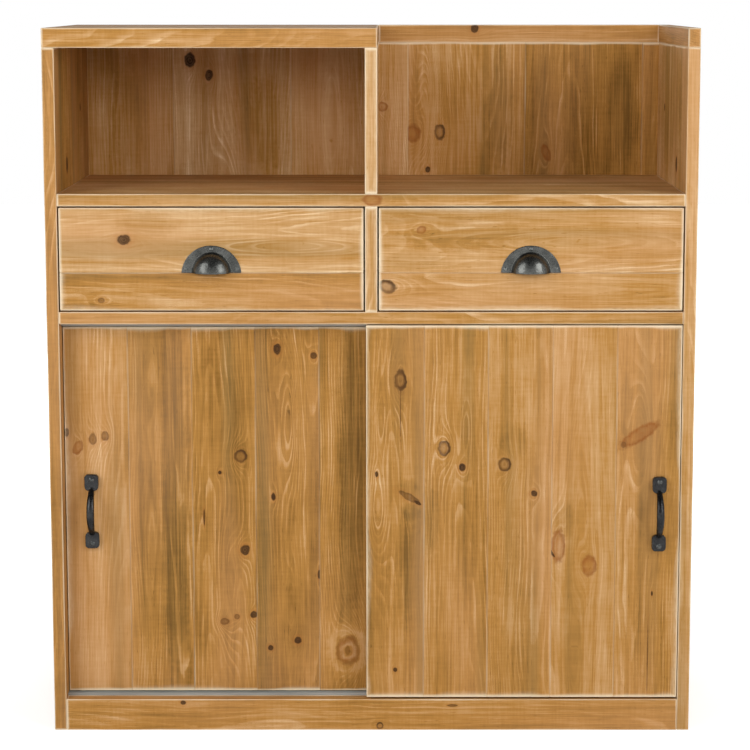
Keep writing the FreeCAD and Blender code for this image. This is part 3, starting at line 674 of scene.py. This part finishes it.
def write_attribute(mesh, name, kind, values):
    """Gives each corner of a mesh a value or a vector of its own."""
    made = mesh.attributes.new(name, kind, "POINT")
    flat = [part for value in values for part in value] if kind == "FLOAT_VECTOR" else values
    made.data.foreach_set("vector" if kind == "FLOAT_VECTOR" else "value", flat)


def new_object(name, data):
    """An object in the scene for a mesh, a lamp or a camera."""
    made = bpy.data.objects.new(name, data)
    bpy.context.scene.collection.objects.link(made)
    return made


def new_piece(name, mesh, body, slot, *nodes):
    """A visible piece made of a mesh, which rides on a body and stands for some CAD nodes."""
    piece = new_object(name, mesh)
    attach(piece, body)
    if nodes:
        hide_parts(*nodes)
    return piece


def paint(material, *nodes):
    """Gives CAD pieces a material."""
    for node in nodes:
        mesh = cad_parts[node].data
        mesh.materials.clear()
        mesh.materials.append(material)


def lumber(name, boards, pines, body, slot, *nodes):
    """One wooden piece of several boards, each with its pine and with its own axes in the attributes."""
    whole = bmesh.new()
    owners, slots = [], []
    for place, board in enumerate(boards):
        form = board.solid()
        owners += [board] * len(form.verts)
        slots += [place] * len(form.faces)
        part = bpy.data.meshes.new("board")
        form.to_mesh(part)
        form.free()
        whole.from_mesh(part)
        bpy.data.meshes.remove(part)
    mesh = bpy.data.meshes.new(name)
    whole.to_mesh(mesh)
    whole.free()
    owned = [(board, vertex.co.copy()) for board, vertex in zip(owners, mesh.vertices)]
    vectors = {
        "local": [board.own(spot, (board.low, board.high)) for board, spot in owned],
        "place": [board.own(spot, board.panel) for board, spot in owned],
        "half": [board.half() for board in owners],
    }
    for label, values in vectors.items():
        write_attribute(mesh, label, "FLOAT_VECTOR", values)
    for label in ("width", "seed", "tone"):
        write_attribute(mesh, label, "FLOAT", [getattr(board, label) for board in owners])
    for wood in pines:
        mesh.materials.append(wood)
    mesh.polygons.foreach_set("material_index", slots)
    return new_piece(name, mesh, body, slot, *nodes)


def cut_across(low, high, seams, axis, tones, axes, arris):
    """Boards side by side between two corners, parted at some seams, which all belong to one panel."""
    stops = [low[axis], *seams, high[axis]]
    boards = []
    for place, (start, end) in enumerate(zip(stops, stops[1:])):
        first, last = Vector(low), Vector(high)
        first[axis] = start + (SEAM_GAP if place else 0)
        last[axis] = end - (SEAM_GAP if place < len(seams) else 0)
        boards.append(Board(first, last, axes, tones[place], arris, (Vector(low), Vector(high))))
    return boards


def board_pines(name, boards, knots, stains_and_shade=(), wear=1.0):
    """A pine for each board of a panel, with the knots, stains and patches of painted shade that lie on that
    board.
    """
    pines = []
    for place, board in enumerate(boards):
        low, high = (corner[board.axes[0]] / MM for corner in (board.low, board.high))
        own_knots = [spot for spot in knots if low <= spot[0] < high]
        own_stains_and_shade = [patch for patch in stains_and_shade if low - patch[2] < patch[0] < high + patch[2]]
        pines.append(pine(f"{name}_{place + 1}", board.axes, own_knots, wear, stains_and_shade=own_stains_and_shade))
    return pines


# Knots

# Half the width of a crack, in millimetres
CRACK_WIDE = 0.7


def knot(across, along, wide, long, tilt=0, dark=0.95, ring=0.4, warm=0.25):
    """A dead knot, nearly black, unless its shares of dark heart, ring and red wood say otherwise."""
    return (across, along, wide, long, tilt, dark, ring, warm)


def faint_knot(across, along, wide, long, tilt=0):
    """A brown knot that hardly stands out."""
    return knot(across, along, wide, long, tilt, dark=0.45, ring=0.3, warm=0.4)


def ring_knot(across, along, wide, long, tilt=0):
    """A live knot: a dark ring about wood that is a little darker than the board's own."""
    return knot(across, along, wide, long, tilt, dark=0.26, ring=0.85, warm=0.25)


def red_knot(across, along, wide, long, tilt=0):
    """A knot full of resin: orange, and strongest at its rim."""
    return knot(across, along, wide, long, tilt, dark=0.1, ring=0.24, warm=0.8)


def arch(across, along, wide, long):
    """Grain that closes in nested arches where no branch comes through."""
    return knot(across, along, wide, long, dark=0, ring=0, warm=0)


def crack(across, along, long):
    """A thin dark split along the grain."""
    return knot(across, along, CRACK_WIDE, long, dark=0.75, ring=0, warm=0)


# Carcass

THIN_WEAR = 0.3
BOARD_PINE = pine("pine_boards", wear=THIN_WEAR)
DIVIDER_PINE = pine("pine_dividers")
SIDE_KNOTS = (
    knot(-62, 884, 9, 12), ring_knot(84, 715, 7, 9), ring_knot(-118, 492, 11, 13, 15), knot(38, 371, 6, 8),
    knot(139, 262, 8, 10, -20), faint_knot(-31, 118, 10, 12), knot(103, 967, 5, 6), arch(-20, 590, 22, 80),
    arch(60, 160, 18, 70),
)
# A darker, grey-striped patch high on the right side, and none on the left
SIDE_DARK_PATCHES = {"left": (), "right": ((30, 985, 160, 125, 0.55),)}
SIDE_PINES = {
    side: pine(f"pine_{side}_side", UPRIGHT_SIDE, SIDE_KNOTS, wear=THIN_WEAR, stains_and_shade=stains_and_shade)
    for side, stains_and_shade in SIDE_DARK_PATCHES.items()
}
TOP_PINE = pine("pine_top", LYING_SHELF, (
    knot(-72, -391, 9, 11), ring_knot(64, -248, 12, 15, 10), knot(-12, -96, 6, 8),
    faint_knot(132, -52, 8, 9), arch(-30, -300, 20, 80),
), wear=THIN_WEAR)
EDGE_PINE = pine("pine_edges", LYING_FACE, (
    red_knot(839.5, 1, 8.5, 14), knot(45, -297, 3.5, 4), ring_knot(7, 13, 5, 5), knot(40, 127, 2, 8, 0, 0.6),
    knot(1094, 171, 7, 6),
), wear=THIN_WEAR)
BACK_KNOTS = (
    knot(-308, 1041, 8.5, 11, 0, 1.0, 0.7), knot(-276, 1016, 6, 8.5), red_knot(17, 963, 7.5, 7.5),
    red_knot(67, 918, 12, 14), ring_knot(113, 920, 8.4, 12), red_knot(293, 885, 6.5, 14, 20),
    knot(93, 857, 4, 5), knot(-402, 620, 9, 11), knot(186, 540, 8, 10), ring_knot(-215, 402, 11, 14),
    knot(351, 308, 7, 9), faint_knot(-40, 196, 9, 10), knot(404, 760, 6, 9), arch(-70, 940, 16, 60),
    arch(88, 985, 12, 45), arch(-250, 700, 20, 80), arch(240, 420, 20, 70),
)
BACK_STAINS = (
    (-190, 930, 48, 80, 0.45), (-412, 940, 30, 110, 0.35), (214, 965, 24, 110, 0.5),
    (420, 950, 24, 90, 0.28), (-330, 640, 40, 200, 0.3), (130, 480, 30, 220, 0.3),
)
BACK_WEAR = 0.4
BACK_TONES = (0.16, 0.27, 0.2, 0.07, -0.05, 0.0)
SIDE_TONES = {"left": -0.02, "right": 0.21}
RUNNER_TONE = 0.1

# Boards in one piece: node, axes, pine, slot and tone
WHOLE_BOARDS = (
    ("top_board", LYING_SHELF, TOP_PINE, "pine_carcass", 0.05),
    ("right_side_cap", DEEP_SHELF, BOARD_PINE, "pine_carcass", 0.02),
    ("back_cap_rail", LYING_FACE, EDGE_PINE, "pine_carcass", 0.05),
    ("upper_divider", UPRIGHT_SIDE, DIVIDER_PINE, "pine_carcass", 0.24),
    ("middle_shelf", LYING_SHELF, EDGE_PINE, "pine_carcass", 0.19),
    ("drawer_divider", UPRIGHT_SIDE, DIVIDER_PINE, "pine_carcass", 0.16),
    ("lower_shelf", LYING_SHELF, BOARD_PINE, "pine_carcass", 0.12),
    ("bottom_board", LYING_SHELF, BOARD_PINE, "pine_carcass", 0.04),
    ("plinth", LYING_FACE, EDGE_PINE, "pine_carcass", 0.05),
    ("inner_shelf", LYING_SHELF, BOARD_PINE, "pine_inner", 0.06),
)


def side_outline(side):
    """A side seen from above, with the rebate that takes the back boards."""
    low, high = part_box(f"{side}_side")
    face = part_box("back_boards")[0].y
    if side == "left":
        return [(low.x, low.y), (high.x, low.y), (high.x, face), (high.x - BACK_LAP, face),
                (high.x - BACK_LAP, high.y), (low.x, high.y)]
    return [(low.x, low.y), (high.x, low.y), (high.x, high.y), (low.x + BACK_LAP, high.y),
            (low.x + BACK_LAP, face), (low.x, face)]


def make_carcass():
    """The sides, the boards between them, the drawers' runners and the back."""
    for side in SIDES:
        node = f"{side}_side"
        low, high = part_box(node)
        boards = [Board(low, high, UPRIGHT_SIDE, SIDE_TONES[side], outline=side_outline(side))]
        lumber(f"{node}_board", boards, [SIDE_PINES[side]], "carcass", "pine_carcass", node)
    whole = list(WHOLE_BOARDS)
    for side in SIDES:
        for place in ("outer", "middle"):
            node = f"{side}_drawer_{place}_runner"
            whole.append((node, DEEP_SHELF, BOARD_PINE, "pine_inner", RUNNER_TONE))
    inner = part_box("left_side")[1].x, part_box("right_side")[0].x
    for node, axes, material, slot, tone in whole:
        low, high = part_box(node)
        if axes == LYING_SHELF and node != "top_board":
            low.x, high.x = max(low.x, inner[0]), min(high.x, inner[1])
        lumber(f"{node}_wood", [Board(low, high, axes, tone)], [material], "carcass", slot, node)
    low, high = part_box("back_boards")
    seams = [low.x + place * MM for place in BACK_SEAMS]
    boards = cut_across(low, high, seams, 0, BACK_TONES, UPRIGHT_FACE, STAVE_ARRIS)
    pines = board_pines("pine_back_board", boards, BACK_KNOTS, BACK_STAINS, BACK_WEAR)
    lumber("back_planks", boards, pines, "carcass", "pine_back", "back_boards")


# Drawers

DRAWER_KNOTS = {
    "left": (
        knot(778, -379, 7.3, 9.8, 0, 0.9, 0.5), faint_knot(684, -415, 4, 5), arch(766, -415, 7, 26),
        arch(768, -120, 11, 60),
    ),
    "right": (
        red_knot(793, 77, 5.7, 6.5), ring_knot(706, 24, 9, 13, 20), arch(775, 300, 12, 70),
        arch(700, 330, 9, 60),
    ),
}
DRAWER_STAINS = {
    "left": ((800, -345, 22, 45, 0.35), (745, -420, 16, 60, 0.2)),
    "right": ((785, 150, 24, 95, 0.3), (745, 60, 14, 50, 0.25)),
}
DRAWER_TONES = {"left": (0.02, 0.25), "right": (0.15, 0.19)}
INNER_TONE = 0.12


def make_drawer(side):
    """A drawer's front of two boards and its box."""
    body = f"{side}_drawer"
    low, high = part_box(f"{body}_front")
    boards = cut_across(low, high, [FRONT_SEAM], 2, DRAWER_TONES[side], LYING_FACE, ARRIS)
    pines = board_pines(f"pine_{body}_board", boards, DRAWER_KNOTS[side], DRAWER_STAINS[side])
    lumber(f"{body}_face", boards, pines, body, "pine_drawer", f"{body}_front")
    for part, axes in (("back", LYING_FACE), ("floor", LYING_SHELF)):
        node = f"{body}_{part}"
        boards = [Board(*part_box(node), axes, INNER_TONE, STAVE_ARRIS)]
        lumber(f"{node}_wood", boards, [BOARD_PINE], body, "pine_inner", node)
    for edge in SIDES:
        node = f"{body}_{edge}_side"
        low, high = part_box(node)
        paint(pine(f"pine_{node}", DEEP_SIDE, middle=(low + high) / 2), node)


# Doors

DOOR_KNOTS = {
    "left": (
        knot(-477, 472, 4, 7, 0, 0.8, 0.3, 0.6), red_knot(-459, 448, 7, 11, -25),
        faint_knot(-436, 461, 6, 9), faint_knot(-417, 466, 6, 7), knot(-147, 604, 5.5, 8.5),
        knot(-90, 593, 4.7, 5, 0, 0.8, 0.3, 0.6), ring_knot(-205, 434, 9, 9, 45), knot(-238, 408, 2.8, 2.8),
        knot(-154, 369, 3.4, 5.5), knot(-263, 336, 1.5, 12, 0, 0.8, 0.3, 0.7), knot(-199.5, 284, 7, 8),
        knot(-186, 179, 5.5, 5.5), faint_knot(-213, 175.5, 4, 4), faint_knot(-232.5, 168, 7, 5.5),
        knot(-160, 125, 4.4, 4.4), knot(-117, 137, 5.7, 5.7), knot(-83, 244, 2, 7),
        knot(-37.5, 120, 17, 21, 0, 0.1, 0.3, 0.5), arch(-342, 561, 7, 30), arch(-345, 311, 9, 60),
        arch(-130, 500, 11, 50), arch(-127, 190, 7, 24), arch(-222, 225, 10, 40),
    ),
    "right": (
        ring_knot(45, 560, 8.5, 15), ring_knot(113, 453, 9.3, 11), knot(141, 422.5, 5, 6),
        ring_knot(207, 427, 9.3, 10), knot(253, 381, 4.7, 4.7), knot(8, 411.5, 2.5, 4.2),
        knot(59, 375, 5, 17, 60, 0.55, 0.3, 0.2), knot(72, 366, 2.6, 6, 60), red_knot(416, 474, 10, 32, -57),
        faint_knot(391, 458, 4, 5), red_knot(291.5, 297, 10, 25), knot(281, 287, 2, 9, 35),
        red_knot(340, 266, 11, 15.5), knot(439, 221, 1.5, 4), knot(37, 98, 3.2, 3.2), crack(45, 506, 38),
        crack(433.5, 116, 60),
        arch(15, 500, 8, 30), arch(10, 350, 12, 35), arch(147, 482, 6, 25), arch(327, 350, 13, 60),
        arch(318, 120, 12, 60),
    ),
}
DOOR_STAINS_AND_SHADE = {
    "left": (
        (-308, 340, 24, 330, 0.42), (-392, 440, 13, 55, 0.3), (-357, 270, 12, 180, 0.2),
        # Painted shadow: the patch at (-30, 420) darkens the inner end of this door, which the right door
        # shades
        (-30, 420, 22, 240, 0.35), (-342, 561, 6, 22, -0.4), (-345, 311, 7, 56, -0.35),
        (-37.5, 120, 31, 39, -0.9), (-37.5, 120, 22, 28, 1.1), (-37.5, 120, 14, 18, -1.2),
        (-37.5, 120, 8, 10, 1.2),
    ),
    "right": (
        (92, 335, 14, 62, 0.4), (222, 462, 26, 28, 0.3), (396, 520, 9, 60, 0.3), (60, 265, 18, 100, 0.38),
        (248, 400, 14, 50, 0.25), (58, 391, 16, 13, 0.42), (62, 350, 16, 14, 0.45), (300, 338, 22, 28, 0.3),
    ),
}
STAVE_TONES = {"left": (0.14, -0.01, -0.01, -0.05, -0.01), "right": (0.035, 0.04, 0.1, 0.135, 0.05)}


def make_door(side):
    """A door's panel of staves, counted from the outer side of the cabinet."""
    body = f"{side}_door"
    low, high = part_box(f"{body}_panel")
    if side == "left":
        seams = [low.x + STAVE * place for place in range(1, STAVES)]
    else:
        seams = [high.x - STAVE * place for place in range(STAVES - 1, 0, -1)]
    boards = cut_across(low, high, seams, 0, STAVE_TONES[side], UPRIGHT_FACE, STAVE_ARRIS)
    pines = board_pines(f"pine_{body}_stave", boards, DOOR_KNOTS[side], DOOR_STAINS_AND_SHADE[side])
    lumber(f"{body}_staves", boards, pines, body, "pine_door", f"{body}_panel")


# Fittings

# How fine the clouds and the marks of a skin are, per metre along each axis
EVEN = ((60.0,) * 3, (700.0,) * 3)
FINE = ((300.0,) * 3, (1500.0,) * 3)
PLATED = ((120.0,) * 3, (900.0,) * 3)
MOULDED = ((40.0,) * 3, (600.0,) * 3)
DRAWN = ((3.0, 60.0, 60.0), (20.0, 2200.0, 2200.0))

# Finishes: dark and pale tones, roughness, share of metal, pattern and depth
CUP_IRON = metal("cup_iron", srgb(66, 67, 65), srgb(97, 98, 95), 0.28, 0.95, EVEN, 0.1 * MM)
PULL_IRON = metal("pull_iron", srgb(36, 36, 37), srgb(56, 56, 56), 0.27, 0.9, EVEN, 0.2 * MM)
SCREW_STEEL = metal("screw_steel", srgb(74, 76, 75), srgb(118, 120, 117), 0.38, 1.0, FINE, 0.1 * MM)
DARK_SCREW = metal("dark_screw", srgb(50, 52, 52), srgb(96, 98, 96), 0.36, 0.8, FINE, 0.1 * MM)
BRIGHT_TRACK = metal("bright_track", srgb(150, 155, 153), srgb(184, 188, 187), 0.42, 0.55, DRAWN, 0.04 * MM)
# The upper track: a darker copy of the lower track's metal, painted shade for the strip in shadow under the
# lower shelf
SHADED_TRACK = metal("shaded_track", srgb(120, 114, 104), srgb(150, 143, 132), 0.55, 0.6, DRAWN, 0.05 * MM)
ZINC = metal("zinc_steel", srgb(150, 153, 156), srgb(190, 192, 194), 0.36, 1.0, PLATED, 0.08 * MM)
NYLON = metal("white_nylon", srgb(214, 212, 204), srgb(234, 233, 228), 0.42, 0.0, MOULDED, 0.05 * MM)

# Corners of a CAD mesh that are closer than this become one
WELD = 1e-6

# The skin of a casting: its mesh size, how it is smoothed, and its hammer marks per metre, reach and inset
VOXEL = 0.7 * MM
SOFT_SHARE = 0.5
SOFT_ROUNDS = 5
FORGE_SCALE = 260.0
FORGE_REACH = 0.14 * MM
FORGE_INSET = 0.1 * MM


def welded(node):
    """A copy of a CAD piece's mesh with its loose triangles joined."""
    form = bmesh.new()
    form.from_mesh(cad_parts[node].data)
    bmesh.ops.remove_doubles(form, verts=form.verts, dist=WELD)
    return form


def made_mesh(name, maker):
    """The mesh that an object's modifiers make, while the object itself goes."""
    mesh = bpy.data.meshes.new_from_object(maker.evaluated_get(bpy.context.evaluated_depsgraph_get()))
    bpy.data.objects.remove(maker)
    mesh.name = name
    return mesh


def forged(name, node, body, finish):
    """A casting's CAD shape drawn anew as one soft skin with slight hammer marks."""
    mesh = bpy.data.meshes.new("blank")
    form = welded(node)
    form.to_mesh(mesh)
    form.free()
    blank = new_object("blank", mesh)
    skin = blank.modifiers.new("skin", "REMESH")
    skin.mode = "VOXEL"
    skin.voxel_size = VOXEL
    soft = blank.modifiers.new("soft", "SMOOTH")
    soft.factor = SOFT_SHARE
    soft.iterations = SOFT_ROUNDS
    done = made_mesh(name, blank)
    outward = [vertex.normal.copy() for vertex in done.vertices]
    for vertex, way in zip(done.vertices, outward):
        mark = noise.noise(vertex.co * FORGE_SCALE)
        vertex.co += way * (mark * FORGE_REACH - FORGE_INSET)
    done.polygons.foreach_set("use_smooth", [True] * len(done.polygons))
    done.materials.clear()
    done.materials.append(finish)
    return new_piece(name, done, body, "iron", node)


# A screw in head radii: columns of its head with their depth in the slot, its dome, rows, and steps of its
# shank as radii and levels
HEAD_COLUMNS = ((-0.96, 0), (-0.8, 0), (-0.5, 0), (-0.17, 0), (-0.16, 0.3), (0.16, 0.3), (0.17, 0), (0.5, 0),
                (0.8, 0), (0.96, 0))
HEAD_DOME = 0.42
HEAD_ROWS = (-1.0, -0.6, -0.2, 0.2, 0.6, 1.0)
SHANK_STEPS = ((1.0, -0.85), (0.55, -0.85), (0.5, -3.4), (0.12, -4.3))


def slotted_screw():
    """A screw of unit head radius that points down, with the crown of its slotted dome at the origin."""
    form = bmesh.new()
    grid = []
    for across, sunk in HEAD_COLUMNS:
        chord = math.sqrt(1 - across * across)
        column = [(across, row * chord) for row in HEAD_ROWS]
        grid.append([form.verts.new((x, y, -HEAD_DOME * (x * x + y * y) - sunk)) for x, y in column])
    for first, second in zip(grid, grid[1:]):
        for row in range(len(HEAD_ROWS) - 1):
            form.faces.new((first[row], second[row], second[row + 1], first[row + 1]))
    for radius, level in SHANK_STEPS:
        rim = [edge for edge in form.edges if edge.is_boundary]
        drawn = bmesh.ops.extrude_edge_only(form, edges=rim)["geom"]
        for vertex in drawn:
            if isinstance(vertex, bmesh.types.BMVert):
                flat = Vector((vertex.co.x, vertex.co.y)).normalized() * radius
                vertex.co = (flat.x, flat.y, level)
    bmesh.ops.holes_fill(form, edges=[edge for edge in form.edges if edge.is_boundary], sides=0)
    bmesh.ops.recalc_face_normals(form, faces=form.faces)
    mesh = bpy.data.meshes.new("slotted_screw")
    form.to_mesh(mesh)
    form.free()
    return new_object("slotted_screw", mesh)


def make_screw_tree():
    """Sets a screw on every point, facing as the point says, with its slot turned by chance."""
    tree = bpy.data.node_groups.new("screws", "GeometryNodeTree")
    inputs = {"Geometry": "Geometry", "Screw": "Object", "Spin": "Int", "Finish": "Material"}
    for label, kind in inputs.items():
        tree.interface.new_socket(label, in_out="INPUT", socket_type=f"NodeSocket{kind}")
    tree.interface.new_socket("Geometry", in_out="OUTPUT", socket_type="NodeSocketGeometry")
    net = Nodes(tree)
    given = net.place("NodeGroupInput").outputs
    screw = net.add("GeometryNodeObjectInfo", {"Object": given["Screw"], "As Instance": True}, "Geometry")
    facing = net.add("GeometryNodeInputNamedAttribute", {"Name": "facing"}, data_type="FLOAT_VECTOR")
    size = net.add("GeometryNodeInputNamedAttribute", {"Name": "size"}, data_type="FLOAT")
    # Sockets 2 and 3 hold the least and the largest turn, and 8 the seed
    turn = net.add("FunctionNodeRandomValue", {2: 0.0, 3: math.pi, 8: given["Spin"]}, 1, data_type="FLOAT")
    upright = net.add("FunctionNodeAlignRotationToVector", {"Vector": facing}, axis="Z")
    spin = net.add("FunctionNodeAxisAngleToRotation", {"Axis": (0.0, 0.0, 1.0), "Angle": turn})
    turned = net.add("FunctionNodeRotateRotation", {0: upright, 1: spin}, rotation_space="LOCAL")
    scale = net.join(size, size, size)
    feeds = {"Points": given["Geometry"], "Instance": screw, "Rotation": turned, "Scale": scale}
    placed = net.add("GeometryNodeInstanceOnPoints", feeds)
    solid = net.add("GeometryNodeRealizeInstances", {0: placed})
    done = net.add("GeometryNodeSetMaterial", {"Geometry": solid, "Material": given["Finish"]})
    net.place("NodeGroupOutput", {0: done})
    return tree


def loose_parts(node):
    """The corners of each loose part of a CAD node."""
    form = welded(node)
    form.verts.index_update()
    seen = [False] * len(form.verts)
    parts = []
    for start in form.verts:
        if seen[start.index]:
            continue
        seen[start.index] = True
        reached = [start]
        for vertex in reached:
            for edge in vertex.link_edges:
                other = edge.other_vert(vertex)
                if not seen[other.index]:
                    seen[other.index] = True
                    reached.append(other)
        spots = [vertex.co for vertex in reached]
        corners = (Vector(pick(spot[axis] for spot in spots) for axis in range(3)) for pick in (min, max))
        parts.append(tuple(corners))
    form.free()
    return parts


# Screws in tracks below this height point down, and the others up
TRACKS_PART = 300 * MM

# Seeds for the turn of the slots
PULL_SPIN = 3
CARCASS_SPIN = 7


def set_screws(name, body, finish, slot, spin, tree, screw, *nodes):
    """Screws of one body, where the CAD has them, each with its crown where the CAD head ends.

    The sunk heads in the back have their domes above that, clear of the boards.
    """
    spots, ways, sizes = [], [], []
    for node in nodes:
        for low, high in loose_parts(node):
            middle = (low + high) / 2
            half = (high - low) / 2
            if node == "track_screws":
                way = Vector((0, 0, 1 if middle.z < TRACKS_PART else -1))
            else:
                way = Vector((0, 1 if node == "back_screws" else -1, 0))
            dome = HEAD_DOME * half.x if node == "back_screws" else 0.0
            spots.append(middle + Vector((half[axis] + dome) * way[axis] for axis in range(3)))
            ways.append(way)
            sizes.append(half.x)
    points = bpy.data.meshes.new("screw_points")
    points.from_pydata(spots, [], [])
    write_attribute(points, "facing", "FLOAT_VECTOR", ways)
    write_attribute(points, "size", "FLOAT", sizes)
    holder = new_object("screw_points", points)
    modifier = holder.modifiers.new("screws", "NODES")
    modifier.node_group = tree
    values = {"Screw": screw, "Spin": spin, "Finish": finish}
    for item in tree.interface.items_tree:
        if item.in_out == "INPUT" and item.name in values:
            modifier[item.identifier] = values[item.name]
    holder.update_tag()
    return new_piece(name, made_mesh(name, holder), body, slot, *nodes)


def make_fittings():
    """Pulls, screws, door gear, tracks, pins and dowels."""
    screw = slotted_screw()
    tree = make_screw_tree()
    for spin, side in enumerate(SIDES, PULL_SPIN):
        forged(f"{side}_cup_casting", f"{side}_drawer_cup_pull", f"{side}_drawer", CUP_IRON)
        forged(f"{side}_pull_casting", f"{side}_door_handle", f"{side}_door", PULL_IRON)
        held = (("drawer", "pull_screws", SCREW_STEEL), ("door", "handle_screws", DARK_SCREW))
        for kind, part, finish in held:
            body = f"{side}_{kind}"
            set_screws(f"{body}_screws", body, finish, "iron", spin, tree, screw, f"{body}_{part}")
        paint(ZINC, f"{side}_door_roller_brackets")
        paint(NYLON, f"{side}_door_top_guides", f"{side}_door_left_wheel", f"{side}_door_right_wheel")
    fixed = ("back_screws", "track_screws")
    set_screws("carcass_screws", "carcass", ZINC, "steel", CARCASS_SPIN, tree, screw, *fixed)
    bpy.data.objects.remove(screw)
    paint(BRIGHT_TRACK, "lower_track")
    # The upper track takes the copy darkened as painted shade
    paint(SHADED_TRACK, "upper_track")
    paint(ZINC, "shelf_pins")
    low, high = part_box("dowels")
    paint(pine("pine_dowels", middle=(low + high) / 2), "dowels")


# Studio

# The floor's size and finish, and the distances between which its glow rises, and from what to what
FLOOR_REACH = 9.0
FLOOR_PALE = (0.86, 0.86, 0.86, 1.0)
FLOOR_ROUGH = 0.9
FLOOR_GLOSS = 0.1
FLOOR_GLOW = (0.55, 1.3, 0.56, 1.0)

# The room's light, and its ceiling in mirrors: between which upward slopes it falls, and from what to what
ROOM_LIGHT = (-0.1, 0.8, 0.5, 0.12)
MIRRORED_CEILING = (0.15, 0.65, 1.0, 0.1)

# Lamps: place, aim, width, height and power, and whether metal mirrors them
LAMPS = {
    "left_softbox": ((-2.2, -2.1, 1.85), (-0.1, 0.0, 0.6), 1.6, 2.2, 45.0, True),
    "right_softbox": ((2.2, -2.1, 1.85), (0.1, 0.0, 0.6), 1.6, 2.2, 45.0, True),
    "front_fill": ((0.0, -4.4, 1.9), (0.0, 0.0, 0.6), 1.6, 1.0, 40.0, False),
    "back_fill": ((0.0, 3.6, 1.0), (0.0, 0.0, 0.6), 2.4, 1.6, 60.0, True),
}

# The camera: lens and sensor in millimetres, shift, place, degrees below level, and how far it sees
LENS = 110.2
SENSOR = 36.0
SHIFT = (-0.02, -0.08)
EYE = (0.0289, -3.6855, 1.1478)
LOOK_DOWN = 7.91
SIGHT = 100.0


def softbox(name, place, aim, wide, high, power, mirrored):
    """A flat lamp that the camera doesn't see."""
    lamp = bpy.data.lights.new(name, "AREA")
    lamp.shape = "RECTANGLE"
    lamp.size, lamp.size_y, lamp.energy = wide, high, power
    light = new_object(name, lamp)
    light.location = place
    light.rotation_euler = (Vector(aim) - Vector(place)).to_track_quat("-Z", "Y").to_euler()
    light.visible_camera = False
    light.visible_glossy = mirrored


def background_rays(net):
    """Whether the camera sees a point itself, and whether it sees it in a mirror or through glass."""
    path = net.place("ShaderNodeLightPath").outputs
    return path["Is Camera Ray"], net.larger(path["Is Glossy Ray"], path["Is Transmission Ray"])


def make_floor():
    """A wide pale floor that looks white where nothing shades it."""
    mesh = bpy.data.meshes.new("floor")
    corners = ((-1, -1), (1, -1), (1, 1), (-1, 1))
    mesh.from_pydata([(x * FLOOR_REACH, y * FLOOR_REACH, 0) for x, y in corners], [], [(0, 1, 2, 3)])
    floor = new_object("floor", mesh)
    material, net, shader = new_material("pale_floor")
    net.fill(shader, {
        "Base Color": FLOOR_PALE, "Roughness": FLOOR_ROUGH, "Specular IOR Level": FLOOR_GLOSS,
        "Emission Color": WHITE,
    })
    seen, mirrored = background_rays(net)
    away = net.vector("LENGTH", net.add("ShaderNodeTexCoord", (), "Object"), output=1)
    shown = net.larger(seen, mirrored)
    white = net.step(away, *FLOOR_GLOW)
    net.feed(shader.inputs["Emission Strength"], net.times(shown, white))
    mesh.materials.append(material)


def make_world():
    """White behind the object and in its mirrors, under a dark ceiling, and a weaker light upon it."""
    world = bpy.data.worlds.new("studio")
    bpy.context.scene.world = world
    world.use_nodes = True
    net = Nodes(world.node_tree)
    back = world.node_tree.nodes["Background"]
    back.inputs["Color"].default_value = WHITE
    seen, mirrored = background_rays(net)
    upward = net.split(net.add("ShaderNodeTexCoord", (), "Generated"))[2]
    room = net.step(upward, *ROOM_LIGHT)
    mirrored = net.times(mirrored, net.step(upward, *MIRRORED_CEILING))
    net.feed(back.inputs["Strength"], net.larger(seen, net.larger(mirrored, room)))


def make_camera():
    """A camera in front of the cabinet that looks a little down on it."""
    data = bpy.data.cameras.new("camera")
    data.sensor_width = SENSOR
    data.lens = LENS
    data.shift_x, data.shift_y = SHIFT
    data.clip_end = SIGHT
    camera = new_object("camera", data)
    camera.location = EYE
    camera.rotation_euler = (math.radians(90 - LOOK_DOWN), 0, 0)
    bpy.context.scene.camera = camera


def make_studio():
    """The floor, the light and the camera."""
    make_floor()
    make_world()
    for name, lamp in LAMPS.items():
        softbox(name, *lamp)
    make_camera()
    bpy.context.scene.view_settings.view_transform = "Standard"


make_carcass()
for side in SIDES:
    make_drawer(side)
    make_door(side)
make_fittings()
make_studio()
